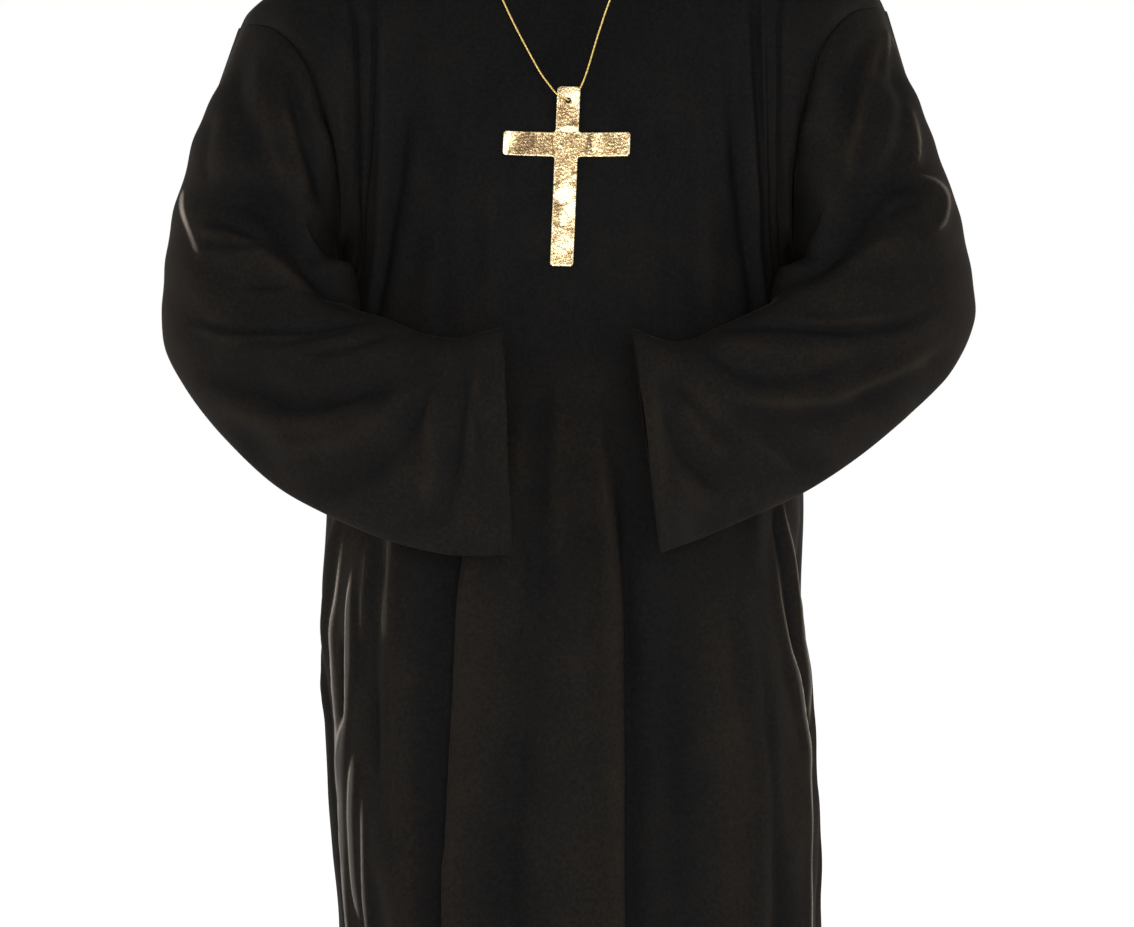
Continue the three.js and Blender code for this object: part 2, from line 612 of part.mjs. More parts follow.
// Closed wall of cloth from a grid of outer points. Its inner face lies one wall further in.
function clothWall({ rows, normals, flip }, closed) {
  const height = rows.length;
  const width = rows[0].length;
  const positions = [];
  for (const depth of [0, WALL]) {
    rows.forEach((row, i) => row.forEach((point, j) => {
      positions.push(...point.clone().addScaledVector(normals[i][j], -depth).toArray());
    }));
  }
  const corner = (k) => new THREE.Vector3().fromArray(positions, 3 * k);
  const facing = (a, b, c) => THREE.Triangle.getNormal(corner(a), corner(b), corner(c), new THREE.Vector3());
  const triangles = [];
  const outer = (i, j) => i * width + (j % width);
  const inner = (i, j) => height * width + outer(i, j);
  // A quad is split from a to c or from b to d: where not told, whichever bends it less.
  const quad = (a, b, c, d, fromA) => {
    const bendsLess = facing(a, b, c).dot(facing(a, c, d)) >= facing(a, b, d).dot(facing(b, c, d));
    const parts = fromA ?? bendsLess ? [[a, b, c], [a, c, d]] : [[a, b, d], [b, c, d]];
    for (const part of parts) triangles.push(...(flip ? part.reverse() : part));
  };
  const across = closed ? width : width - 1;
  for (let i = 0; i < height - 1; i += 1) {
    for (let j = 0; j < across; j += 1) {
      quad(outer(i, j), outer(i + 1, j), outer(i + 1, j + 1), outer(i, j + 1));
      quad(inner(i, j), inner(i, j + 1), inner(i + 1, j + 1), inner(i + 1, j));
    }
  }
  // Rims. Two rims that meet at an armhole are split alike, so that they stay apart.
  for (let j = 0; j < across; j += 1) {
    quad(outer(0, j), outer(0, j + 1), inner(0, j + 1), inner(0, j), j < width / 2);
    quad(outer(height - 1, j), inner(height - 1, j), inner(height - 1, j + 1), outer(height - 1, j + 1));
  }
  if (!closed) {
    for (let i = 0; i < height - 1; i += 1) {
      quad(outer(i, 0), inner(i, 0), inner(i + 1, 0), outer(i + 1, 0), true);
      quad(outer(i, width - 1), outer(i + 1, width - 1), inner(i + 1, width - 1), inner(i, width - 1), true);
    }
  }
  const geometry = new THREE.BufferGeometry();
  geometry.setAttribute('position', new THREE.Float32BufferAttribute(positions, 3));
  geometry.setIndex(triangles);
  geometry.computeVertexNormals();
  return geometry;
}

function piece(name, geometry, colours) {
  const mesh = new THREE.Mesh(geometry, new THREE.MeshStandardMaterial(colours));
  mesh.name = name;
  return mesh;
}

// Cross outline with its top in the middle of the upper edge, rounded at every corner.
function crossGeometry() {
  const { height, span, bar, upright, barBelowTop, corner, plate, holeRadius, holeBelowTop } = CROSS;
  const barTop = -(barBelowTop - bar / 2);
  const right = [
    [upright / 2, 0],
    [upright / 2, barTop],
    [span / 2, barTop],
    [span / 2, barTop - bar],
    [upright / 2, barTop - bar],
    [upright / 2, -height],
  ];
  const left = right.map(([x, y]) => [-x, y]).reverse();
  const corners = [...right, ...left].map(([x, y]) => new THREE.Vector2(x, y)).reverse();
  const shape = new THREE.Shape();
  corners.forEach((point, k) => {
    const before = corners.at(k - 1).clone().sub(point).setLength(corner).add(point);
    const after = corners[(k + 1) % corners.length].clone().sub(point).setLength(corner).add(point);
    if (k === 0) shape.moveTo(before.x, before.y);
    else shape.lineTo(before.x, before.y);
    shape.quadraticCurveTo(point.x, point.y, after.x, after.y);
  });
  shape.closePath();
  const hole = new THREE.Path().absarc(0, -holeBelowTop, holeRadius, 0, 2 * Math.PI, true);
  shape.holes.push(hole);
  const geometry = new THREE.ExtrudeGeometry(shape, { depth: plate, bevelEnabled: false, curveSegments: 6 });
  geometry.rotateZ(-radians(CROSS.slant));
  geometry.rotateX(radians(90 - CROSS.lean));
  return geometry.translate(CROSS.top.x, CROSS.top.y, CROSS.top.z);
}

function cordGeometry() {
  const route = curveThrough(CORD.map((point) => new THREE.Vector3(...point)));
  route.getUtoTmapping = (u) => u; // steps follow the points, which lie closer where the cord bends
  const section = new THREE.Shape();
  section.absarc(0, 0, CORD_RADIUS, 0, 2 * Math.PI);
  return new THREE.ExtrudeGeometry(section, {
    extrudePath: route,
    steps: (CORD.length - 1) * CORD_STEPS_PER_POINT,
    curveSegments: CORD_SIDES / 2,
  });
}

const costume = new THREE.Group();
for (const face of ['front', 'back']) {
  costume.add(piece(`robe_${face}`, clothWall(foldedPanel(face), false), COLOURS.velour));
}
for (const side of ['left', 'right']) {
  costume.add(piece(`sleeve_${side}`, clothWall(foldedSleeve(side), true), COLOURS.velour));
}
costume.add(piece('cross', crossGeometry(), COLOURS.gold));
costume.add(piece('neck_cord', cordGeometry(), COLOURS.cord));

export default costume;
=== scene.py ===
# A priest costume: a black velour robe with wide bell sleeves, and a gold cross on a thin cord.
# Shapes are worked out in millimetres and made in metres. +X is right, -Y the front and +Z up,
# and the origin is the middle of the neck opening.
import math

import bmesh
import bpy
import numpy as np
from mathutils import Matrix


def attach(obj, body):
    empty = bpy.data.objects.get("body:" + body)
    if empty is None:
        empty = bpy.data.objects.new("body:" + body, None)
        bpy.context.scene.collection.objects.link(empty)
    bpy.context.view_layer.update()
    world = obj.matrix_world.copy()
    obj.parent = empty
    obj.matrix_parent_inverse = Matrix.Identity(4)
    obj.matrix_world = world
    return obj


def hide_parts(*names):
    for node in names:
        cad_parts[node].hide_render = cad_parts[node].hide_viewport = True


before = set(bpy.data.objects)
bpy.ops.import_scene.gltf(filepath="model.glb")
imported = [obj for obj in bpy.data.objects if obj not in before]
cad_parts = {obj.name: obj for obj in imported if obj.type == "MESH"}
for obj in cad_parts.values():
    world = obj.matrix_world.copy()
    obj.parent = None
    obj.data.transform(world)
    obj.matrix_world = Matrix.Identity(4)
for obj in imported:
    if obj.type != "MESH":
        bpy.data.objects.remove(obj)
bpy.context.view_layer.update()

MM = 0.001


# Camera
VIEW_WIDTH = 1.0773  # metres across the picture at the body's middle
VIEW_DISTANCE = 3.6
VIEW_HEIGHT = -0.5287
FILM_WIDTH = 36
FARTHEST = 40


def add_camera():
    data = bpy.data.cameras.new("camera")
    data.sensor_width = FILM_WIDTH
    data.lens = FILM_WIDTH * VIEW_DISTANCE / VIEW_WIDTH
    data.clip_end = FARTHEST
    camera = bpy.data.objects.new("camera", data)
    camera.location = (0, -VIEW_DISTANCE, VIEW_HEIGHT)
    camera.rotation_euler = (math.radians(90), 0, 0)
    bpy.context.scene.collection.objects.link(camera)
    bpy.context.scene.camera = camera


add_camera()


# Shapes that several pieces share
CURVE_SAMPLES = 601
DENSITY_SAMPLES = 2001


def smoothstep(x, low, high):
    """Rises from 0 to 1 while x goes from low to high, gently at both ends."""
    t = np.clip((np.asarray(x, float) - low) / (high - low), 0, 1)
    return t * t * (3 - 2 * t)


def lerp(a, b, t):
    return a + (b - a) * t


def unit(v):
    return v / np.maximum(np.linalg.norm(v, axis=-1, keepdims=True), 1e-12)


def curve(points, t):
    """Points at t, from 0 to 1, on a smooth curve through the given points."""
    p = np.asarray(points, float)
    p = np.vstack([2 * p[0] - p[1], p, 2 * p[-1] - p[-2]])
    spans = len(p) - 3
    place = np.clip(np.atleast_1d(t), 0, 1) * spans
    i = np.minimum(place.astype(int), spans - 1)
    w = (place - i)[:, None]
    a, b, c, d = p[i], p[i + 1], p[i + 2], p[i + 3]
    m, n = (c - a) / 2, (d - b) / 2
    return b + m * w + (3 * (c - b) - 2 * m - n) * w**2 + (2 * (b - c) + m + n) * w**3


def curve_evenly(points, t):
    """The same, with t going by the length along the curve."""
    fine = np.linspace(0, 1, CURVE_SAMPLES)
    steps = np.linalg.norm(np.diff(curve(points, fine), axis=0), axis=1)
    walked = np.concatenate([[0], np.cumsum(steps)])
    return curve(points, np.interp(t, walked / walked[-1], fine))


def steps_closer_at(count, spots):
    """Steps from 0 to 1, closer together round each spot: (where, reach, how much closer)."""
    u = np.linspace(0, 1, DENSITY_SAMPLES)
    density = 1 + sum(more * np.exp(-(((u - where) / reach) ** 2)) for where, reach, more in spots)
    walked = np.concatenate([[0], np.cumsum((density[1:] + density[:-1]) / 2)])
    return np.interp(np.linspace(0, 1, count + 1), walked / walked[-1], u)


# Robe: sizes
CLOTH = 1.9  # thickness of the velour
SEAM_GAP = 0.08
NECK_HALF = 78
NECK_CREST = 15
NECK_DEPTH = {"front": 0.36, "back": 0.14}
UNDERARM = -330
HEM = -1400
SQUARENESS = 2.3
NECK_ANGLE = 66

# Body sections: height, half widths to the left and right, depths to the front and back.
SECTIONS = np.array([
    [UNDERARM, 212, 212, 150, 128],
    [-400, 220, 218, 154, 124],
    [-490, 226, 222, 158, 122],
    [-578, 228, 224, 160, 126],
    [-660, 232, 222, 160, 132],
    [-753, 230, 231, 160, 136],
    [-830, 227, 237, 161, 140],
    [-896, 222, 239, 162, 143],
    [-969, 216, 240, 164, 146],
    [-1100, 218, 243, 168, 152],
    [-1250, 227, 249, 175, 160],
    [HEM, 238, 258, 184, 170],
], float)
SECTION_COLUMN = {"left": 1, "right": 2, "front": 3, "back": 4}

# Left shoulder line, from the armhole in to the neck point.
SHOULDER = np.array([
    [-312, 0, -115],
    [-304, 0, -101],
    [-286, 0, -86],
    [-258, 0, -71],
    [-212, 0, -52],
    [-150, 0, -29],
    [-NECK_HALF, 0, 0],
], float)

# Left armhole seam, from the shoulder line down to the underarm.
ARMHOLE = {
    "front": np.array([
        [-312, 0, -115],
        [-295, -37, -117],
        [-263, -63, -128],
        [-234, -77, -162],
        [-220, -76, -214],
        [-213, -55, -274],
        [-212, -24, -317],
        [-212, 0, UNDERARM],
    ], float),
    "back": np.array([
        [-312, 0, -115],
        [-296, 38, -118],
        [-266, 65, -131],
        [-238, 80, -166],
        [-222, 79, -218],
        [-214, 58, -276],
        [-212, 25, -318],
        [-212, 0, UNDERARM],
    ], float),
}
SHOULDER_SHIFT = {"left": (0, 0), "right": (-8, 16)}  # x and z at the shoulder's end

# Sleeve sections from the armhole to the mouth: outer and lower point, inner and upper point,
# half depth across, and how much the lower part narrows.
SLEEVES = {
    "left": np.array([
        [-312, 0, -115, -212, 0, -330, 80, 0],
        [-335, -8, -184, -213, -46, -346, 78, 0],
        [-356, -14, -251, -210, -66, -361, 76, 0],
        [-370, -22, -303, -207, -85, -373, 74, 0.04],
        [-376, -32, -361, -203, -104, -382, 72, 0.1],
        [-375, -48, -418, -195, -124, -388, 64, 0.18],
        [-355, -70, -458, -187, -142, -391, 57, 0.28],
        [-319, -98, -502, -170, -160, -395, 52, 0.38],
        [-268, -132, -548, -151, -177, -403, 50, 0.46],
        [-216, -166, -576, -131, -192, -411, 49, 0.5],
        [-164, -194, -597, -110, -206, -416, 49, 0.5],
        [-114, -214, -609, -91, -218, -416, 50, 0.46],
        [-78, -228, -611, -73, -229, -411, 52, 0.4],
        [-49, -238, -609, -57, -238, -408, 54, 0.34],
    ], float),
    "right": np.array([
        [302, 0, -99, 212, 0, -330, 82, 0],
        [323, -8, -170, 213, -46, -347, 79, 0],
        [345, -14, -232, 210, -66, -357, 76, 0],
        [364, -22, -287, 207, -85, -364, 74, 0.04],
        [376, -32, -345, 202, -104, -369, 72, 0.1],
        [378, -48, -402, 193, -123, -375, 64, 0.18],
        [353, -70, -448, 186, -141, -382, 57, 0.28],
        [311, -98, -488, 168, -159, -391, 52, 0.38],
        [265, -132, -524, 149, -176, -400, 50, 0.46],
        [215, -165, -555, 132, -191, -408, 49, 0.5],
        [165, -194, -577, 115, -206, -416, 49, 0.5],
        [124, -210, -594, 97, -215, -420, 50, 0.46],
        [101, -227, -602, 77, -228, -416, 52, 0.4],
        [83, -238, -608, 58, -238, -409, 54, 0.34],
    ], float),
}

# Robe: folds. Each is a line of points, how far it stands out (or sinks in, below 0), and its
# widths on the left and right of the line, seen while going along it. On the body a point is
# [distance round the body from the centre line, height].
PANEL_LEFT_EDGE = [[-74, -470], [-77, -607], [-83, -740], [-92, -870], [-98, -950], [-108, -1400]]
PANEL_RIGHT_EDGE = [[30, -470], [33, -607], [33, -740], [32, -950], [40, -1400]]
BODY_FOLDS = {
    "front": [
        # The wide centre panel of the skirt stands out between two steep edges.
        (PANEL_LEFT_EDGE, 11, 30, 10),
        ([[-94, -470], [-97, -607], [-103, -740], [-111, -870], [-117, -950],
          [-130, -1400]], -14, 10, 27),
        (PANEL_RIGHT_EDGE, 11, 10, 28),
        ([[50, -470], [53, -607], [53, -740], [52, -950], [62, -1400]], -14, 27, 10),
        # Softer folds inside that panel.
        ([[-24, -480], [-28, -640], [-35, -744], [-44, -820], [-54, -950], [-72, -1400]], -7, 13, 13),
        ([[10, -430], [12, -560], [13, -640], [16, -780], [17, -950], [22, -1400]], -4.5, 6, 8),
        # Folds beside each arm.
        ([[-236, -100], [-234, -170], [-240, -300], [-246, -400]], -6, 15, 17),
        ([[-158, -180], [-172, -260], [-184, -320], [-193, -388], [-198, -470]], -7, 11, 11),
        ([[222, -110], [224, -200], [232, -300], [240, -400]], -7, 17, 18),
        ([[170, -210], [182, -296], [190, -377], [195, -450]], -7, 11, 11),
        # Ridges on the two sides of the skirt.
        ([[-234, -560], [-256, -675], [-278, -780]], 8, 13, 9),
        ([[-186, -900], [-190, -1100], [-200, -1400]], -9, 18, 22),
        ([[214, -560], [256, -722], [272, -860], [276, -980]], 8, 10, 14),
        ([[196, -860], [206, -1100], [222, -1400]], -9, 22, 18),
        ([[136, -960], [142, -1150], [150, -1400]], 7, 20, 20),
    ],
    "back": [
        ([[-226, -150], [-220, -300], [-214, -520]], -10, 14, 14),
        ([[-150, -180], [-158, -500], [-176, -950], [-190, -1400]], -10, 22, 16),
        ([[-112, -240], [-118, -600], [-132, -1000], [-142, -1400]], 9, 16, 20),
        ([[-48, -140], [-54, -560], [-66, -1000], [-74, -1400]], -9, 18, 22),
        ([[-6, -300], [-8, -700], [-14, -1400]], 8, 20, 18),
        ([[52, -120], [50, -520], [58, -980], [66, -1400]], -10, 18, 16),
        ([[96, -260], [104, -660], [116, -1400]], 8, 18, 20),
        ([[150, -170], [160, -560], [170, -980], [186, -1400]], -11, 16, 22),
        ([[224, -150], [216, -320], [210, -540]], -10, 14, 14),
        ([[-238, -560], [-242, -900], [-250, -1400]], 8, 18, 16),
        ([[236, -600], [240, -940], [252, -1400]], 8, 16, 18),
    ],
}
# Finer folds and creases of the same kind, too slight for the solids.
BODY_CREASES = {
    "front": [
        # Thin creases that run down the chest beside each arm.
        ([[-229, -50], [-229, -104], [-232, -170], [-240, -250], [-247, -320], [-250, -390]], -3.4, 4, 3),
        ([[-200, -60], [-203, -150], [-212, -240], [-224, -310], [-231, -391], [-234, -460]], -4, 3, 4),
        ([[-190, -70], [-192, -200], [-197, -300], [-206, -420]], 2, 6, 6),
        ([[190, -50], [194, -104], [199, -174], [204, -218], [209, -296], [214, -371],
          [220, -440]], -5, 13, 4),
        ([[206, -60], [212, -150], [217, -220], [224, -300], [230, -380]], 2.4, 4, 4),
        ([[228, -50], [233, -108], [240, -174], [246, -241], [250, -310], [253, -390]], -3.6, 5, 4),
        ([[160, -130], [168, -225], [171, -290]], -2.5, 6, 6),
        ([[190, -70], [196, -200], [202, -300], [210, -420]], 2, 6, 6),
        # Slight unevenness of the chest.
        ([[-112, -150], [-118, -280], [-116, -440]], -1.6, 9, 7),
        ([[-70, -230], [-76, -330], [-72, -470]], 1.2, 10, 7),
        ([[92, -170], [98, -300], [94, -450]], -1.6, 8, 10),
        ([[128, -150], [136, -290], [134, -440]], 1.5, 9, 7),
        # Pleats at the middle of the waist.
        ([[-40, -470], [-44, -560], [-36, -690]], 2.2, 7, 8),
        ([[-6, -450], [-10, -540], [-8, -640]], 2.4, 6, 6),
        ([[28, -460], [28, -560], [30, -700]], 2.4, 6, 5),
        ([[-16, -430], [-22, -500], [-26, -590]], -2.5, 5, 5),
        # Streaks at the left side of the skirt.
        ([[-214, -560], [-224, -607], [-232, -650], [-240, -690], [-236, -743], [-232, -790],
          [-233, -834],
          [-237, -890], [-240, -950], [-246, -1100], [-250, -1300]], 4, 8, 2.6),
        ([[-207, -620], [-210, -665], [-212, -710], [-216, -750], [-225, -790],
          [-231, -840]], 3.6, 5, 3.4),
        ([[-222, -680], [-221, -730], [-223, -780]], -3, 3.5, 3.5),
        ([[-207, -790], [-214, -830], [-220, -870], [-222, -905], [-218, -960]], 3.2, 5, 4),
        ([[-199, -820], [-203, -870], [-206, -910], [-209, -950], [-214, -1100],
          [-220, -1280]], 3.2, 6, 2.6),
        ([[-161, -550], [-163, -600], [-166, -650], [-169, -710]], 3.4, 8, 5),
        ([[-176, -640], [-177, -700], [-179, -770], [-178, -830]], -2.6, 4, 4),
        ([[-189, -600], [-192, -645], [-196, -700]], 2.6, 4, 3.4),
        ([[-262, -560], [-262, -700], [-258, -840], [-254, -1050]], -5, 7, 8),
        # Streaks at the right side.
        ([[197, -560], [211, -620], [222, -673], [231, -716], [236, -756], [241, -796], [240, -857],
          [240, -950], [244, -1100], [248, -1280]], 3.6, 2.6, 8),
        ([[216, -535], [226, -596], [238, -642], [243, -690], [247, -730], [249, -790]], 3.6, 2.6, 6),
        ([[206, -560], [217, -610], [229, -660], [238, -716]], -3, 3.5, 3.5),
        ([[228, -700], [234, -740], [240, -775], [247, -830]], 2.6, 3, 4),
        ([[262, -560], [268, -700], [270, -840], [266, -1000]], -5, 8, 7),
        # Broad folds between the streaks and the centre panel.
        ([[-150, -600], [-152, -800], [-158, -1100], [-166, -1400]], 3, 14, 10),
        ([[-170, -940], [-176, -1100], [-180, -1400]], 3, 9, 7),
        ([[-62, -980], [-74, -1150], [-86, -1400]], 3, 9, 9),
        ([[0, -900], [-2, -1100], [0, -1400]], 2.5, 8, 9),
        ([[96, -620], [100, -840], [106, -1100], [114, -1400]], -3, 14, 14),
        ([[136, -600], [144, -800], [150, -1100], [158, -1400]], 3.5, 16, 14),
        ([[184, -640], [190, -860], [194, -1100], [200, -1400]], -3, 9, 9),
    ],
    "back": [
        ([[-190, -260], [-196, -520], [-206, -900], [-218, -1400]], 4, 10, 9),
        ([[-84, -200], [-88, -520], [-98, -900], [-108, -1400]], -4, 9, 8),
        ([[-28, -180], [-30, -420], [-36, -760]], 2.4, 8, 8),
        ([[26, -240], [24, -560], [28, -960], [34, -1400]], -3.5, 8, 9),
        ([[74, -160], [78, -460], [88, -860], [96, -1400]], 3.5, 8, 9),
        ([[124, -260], [132, -620], [142, -1000], [152, -1400]], -4, 9, 9),
        ([[196, -300], [200, -620], [208, -980], [220, -1400]], 4, 9, 9),
    ],
}
# Painted highlights where light catches the velour's streaks and ridges (above 0), and places painted
# darker (below 0).
BODY_PAINTED_HIGHLIGHTS = {
    "front": [
        ([[-214, -545], [-224, -607], [-232, -650], [-240, -690], [-236, -743], [-232, -790],
          [-233, -834],
          [-237, -890], [-240, -950], [-243, -1060]], 1.7, 3, 2.2),
        ([[-206, -600], [-210, -665], [-212, -710], [-217, -750], [-226, -790],
          [-232, -850]], 1.8, 3.6, 3),
        ([[-207, -780], [-214, -830], [-220, -870], [-222, -905], [-218, -970]], 1.6, 3.4, 3),
        ([[-228, -800], [-234, -870], [-240, -920], [-244, -990]], 1.7, 3.4, 3.4),
        ([[-199, -810], [-203, -870], [-206, -910], [-209, -950], [-212, -1050]], 1.6, 2.8, 2.4),
        ([[-206, -560], [-222, -640], [-226, -720], [-222, -800], [-222, -900],
          [-226, -1000]], 0.5, 12, 16),
        ([[-161, -530], [-163, -600], [-166, -650], [-169, -720]], 0.8, 5, 5),
        ([[-176, -600], [-177, -700], [-179, -770]], 0.5, 3, 3),
        ([[-189, -580], [-192, -645], [-196, -700]], 0.8, 3, 2.5),
        ([[197, -545], [211, -620], [222, -673], [231, -716], [236, -756], [241, -796],
          [240, -857]], 1, 2, 2.2),
        ([[241, -790], [240, -857], [240, -950], [243, -1060]], 1.4, 2.2, 2.4),
        ([[216, -525], [226, -596], [238, -642], [243, -690], [247, -730], [249, -800]], 1.2, 2.2, 2.4),
        ([[228, -690], [234, -740], [240, -775], [247, -840]], 0.8, 2.2, 2.4),
        ([[-236, -130], [-242, -260], [-248, -430]], 0.75, 24, 30),
        ([[226, -130], [236, -260], [244, -430]], 0.75, 30, 24),
        ([[10, -420], [10, -500], [10, -600]], 0.6, 60, 60),
        ([[0, -40], [0, -200], [0, -330]], -0.35, 90, 90),
    ],
    "back": [],
}
# How far a fold leans over to one side, to the right above 0, where it hangs over its neighbour.
BODY_LEANS = {
    "front": [
        (PANEL_LEFT_EDGE, -16, 28, 10),
        (PANEL_RIGHT_EDGE, 16, 10, 28),
    ],
    "back": [],
}

# On a sleeve a point is [x, z] as seen from the front, and front and back are its two sides.
SLEEVE_FOLDS = {
    ("left", "front"): [
        # The crook of the elbow, and the roll of cloth below it.
        ([[-324, -282], [-302, -286], [-282, -296], [-265, -315], [-246, -341], [-221, -369],
          [-200, -393]],
         -12, 20, 12),
        ([[-306, -320], [-284, -332], [-250, -356], [-219, -378], [-196, -396]], 5, 7, 16),
        # Long swags of the forearm.
        ([[-347, -440], [-315, -455], [-273, -468], [-232, -474], [-192, -466], [-151, -457],
          [-120, -447]],
         -8, 14, 10),
        # Drapes that spread from the top of the mouth.
        ([[-100, -430], [-116, -453], [-130, -476], [-142, -499], [-164, -525], [-186, -542],
          [-212, -552],
          [-238, -545]], -8, 13, 14),
        ([[-86, -426], [-91, -459], [-98, -499], [-105, -548], [-111, -576], [-122, -592]], -7, 10, 12),
        # Upper arm.
        ([[-273, -132], [-255, -168], [-245, -199], [-235, -237], [-225, -272], [-219, -310]], -7, 8, 9),
        ([[-304, -138], [-306, -178], [-301, -209], [-291, -247], [-273, -276],
          [-248, -308]], -5.5, 11, 11),
    ],
    ("left", "back"): [
        ([[-356, -300], [-316, -330], [-266, -348]], -9, 24, 24),
        ([[-370, -376], [-320, -394], [-262, -396]], -7, 24, 24),
        ([[-304, -150], [-298, -230], [-304, -300]], -7, 24, 24),
        ([[-330, -450], [-280, -484], [-200, -506]], -7, 24, 24),
    ],
    ("right", "front"): [
        ([[344, -281], [321, -271], [298, -275], [280, -290], [266, -310], [241, -341], [215, -362],
          [194, -377]],
         -12, 12, 20),
        ([[318, -309], [289, -327], [269, -339], [241, -353], [213, -367], [188, -383]], 5, 16, 7),
        ([[122, -462], [134, -468], [160, -481], [191, -483], [240, -479], [288, -459],
          [326, -437]], -5, 6, 12),
        ([[128, -458], [150, -468], [180, -474], [234, -471], [283, -451], [325, -430],
          [360, -410]], 5, 9, 6),
        ([[92, -430], [106, -453], [126, -476], [152, -495], [179, -511], [207, -527],
          [240, -528]], -7, 10, 13),
        ([[84, -470], [96, -506], [112, -528], [128, -544], [150, -553]], -6, 8, 9),
        ([[278, -124], [264, -168], [257, -200], [250, -240]], -5, 8, 8),
        ([[300, -150], [309, -180], [312, -204], [306, -244], [292, -266]], -4.5, 9, 11),
        ([[290, -180], [287, -204], [278, -230], [266, -262]], -5, 9, 9),
    ],
    ("right", "back"): [
        ([[348, -276], [308, -312], [262, -334]], -9, 24, 24),
        ([[366, -356], [318, -378], [262, -384]], -7, 24, 24),
        ([[298, -136], [294, -216], [300, -280]], -7, 24, 24),
        ([[328, -434], [280, -466], [200, -492]], -7, 24, 24),
    ],
}
SLEEVE_CREASES = {
    ("left", "front"): [
        ([[-336, -306], [-308, -311], [-282, -324]], -3.6, 5, 5),
        ([[-342, -324], [-314, -328], [-274, -328]], -3.2, 5, 5),
        ([[-340, -316], [-312, -319], [-284, -327]], 2, 4, 4),
        ([[-296, -365], [-267, -367], [-246, -363]], -2.4, 4, 4),
        ([[-354, -391], [-317, -406], [-274, -409], [-232, -408], [-199, -402],
          [-160, -397]], -4.2, 5, 4.5),
        ([[-346, -402], [-312, -413], [-276, -414], [-240, -414]], 2.2, 4, 5),
        ([[-302, -417], [-256, -419], [-222, -413], [-180, -405]], -3.4, 4.5, 4.5),
        ([[-238, -430], [-205, -427], [-174, -418], [-153, -409]], -3.4, 4.5, 4.5),
        ([[-280, -474], [-240, -480], [-200, -473], [-170, -464]], -2.6, 5, 4),
        ([[-326, -470], [-280, -488], [-232, -494], [-190, -488]], 2.6, 9, 9),
        ([[-86, -460], [-81, -490], [-80, -520]], -2, 4, 4),
        ([[-76, -432], [-84, -480], [-90, -540]], 2.5, 6, 6),
        ([[-112, -440], [-122, -480], [-122, -540], [-128, -580]], 3, 7, 7),
        ([[-134, -448], [-166, -486], [-210, -510], [-262, -516]], 3, 9, 8),
        ([[-288, -140], [-283, -190], [-272, -240], [-256, -276]], 3, 7, 7),
        ([[-262, -190], [-250, -236], [-236, -290]], 3, 6, 6),
        ([[-330, -200], [-336, -240], [-332, -272]], -2.4, 7, 8),
    ],
    ("left", "back"): [
        ([[-340, -270], [-300, -296], [-250, -306]], 4, 12, 12),
        ([[-360, -420], [-300, -440], [-230, -446]], 4, 12, 12),
        ([[-280, -180], [-276, -250], [-270, -330]], 4, 12, 12),
    ],
    ("right", "front"): [
        ([[322, -256], [344, -267], [353, -282], [348, -305], [332, -320]], 3.2, 4.5, 4.5),
        ([[319, -190], [325, -226], [326, -258]], 3, 4, 4),
        ([[295, -116], [278, -168], [271, -202], [261, -244], [253, -294]], 3, 5, 5),
        ([[297, -118], [298, -143], [298, -172]], 2.4, 3.5, 3.5),
        ([[330, -288], [310, -292], [290, -304]], -3, 6, 6),
        ([[116, -411], [147, -408], [180, -405], [221, -407], [263, -409], [302, -403], [331, -389],
          [352, -378]],
         -4.2, 5, 5),
        ([[200, -398], [230, -400], [264, -398], [300, -392]], 2.6, 4.5, 4.5),
        ([[112, -416], [142, -442], [163, -452], [197, -454], [235, -445], [268, -436]], -4, 5, 7),
        ([[90, -438], [132, -481], [172, -513], [212, -540]], 3, 9, 5),
        ([[120, -420], [160, -424], [220, -428], [280, -424]], 2.5, 8, 8),
        ([[102, -468], [118, -500], [142, -526]], 2.6, 6, 6),
        ([[144, -565], [170, -575], [200, -574]], -2.4, 6, 6),
        ([[72, -436], [76, -490], [84, -560]], 2, 6, 6),
    ],
    ("right", "back"): [
        ([[340, -256], [300, -284], [250, -296]], 4, 12, 12),
        ([[360, -404], [300, -424], [230, -432]], 4, 12, 12),
        ([[282, -166], [276, -240], [272, -316]], 4, 12, 12),
    ],
}
# Painted highlights on the fronts of the sleeves, in the same way.
SLEEVE_PAINTED_HIGHLIGHTS = {
    "left": [
        ([[-358, -264], [-359, -280], [-357, -294], [-352, -310], [-345, -328], [-337, -343]], 2, 3.2, 3.2),
        ([[-310, -318], [-284, -336], [-250, -360], [-219, -382]], 0.35, 5, 5),
    ],
    "right": [
        ([[320, -250], [330, -260], [344, -268], [353, -282], [349, -304], [334, -322]], 0.95, 1.8, 1.8),
        ([[317, -180], [322, -206], [326, -232], [327, -262]], 0.75, 2.2, 2.2),
        ([[298, -112], [299, -143], [300, -180]], 0.7, 2.4, 2.4),
        ([[128, -460], [180, -475], [234, -472], [283, -452], [325, -431], [362, -410]], 0.4, 5, 4),
    ],
}
FOLD_ENDS = 0.22
POINTS_A_SPAN = 5  # straight stretches between two points of a fold's line
RIDGE_SHARPNESS = 2
CREASE_SHARPNESS = 1.6
PANEL_CALM = 0.06  # the folds die out over this share of the width beside a side seam
TOP_CALM = 0.12  # and over this share of the armhole's length at the shoulder
SLEEVE_CALM = 0.035
SLEEVE_EDGE_CALM = (0.05, 0.4)
WAVES_MIXED = 14
WAVE_REACH = (0.7, 1.5)  # waves in the typical length


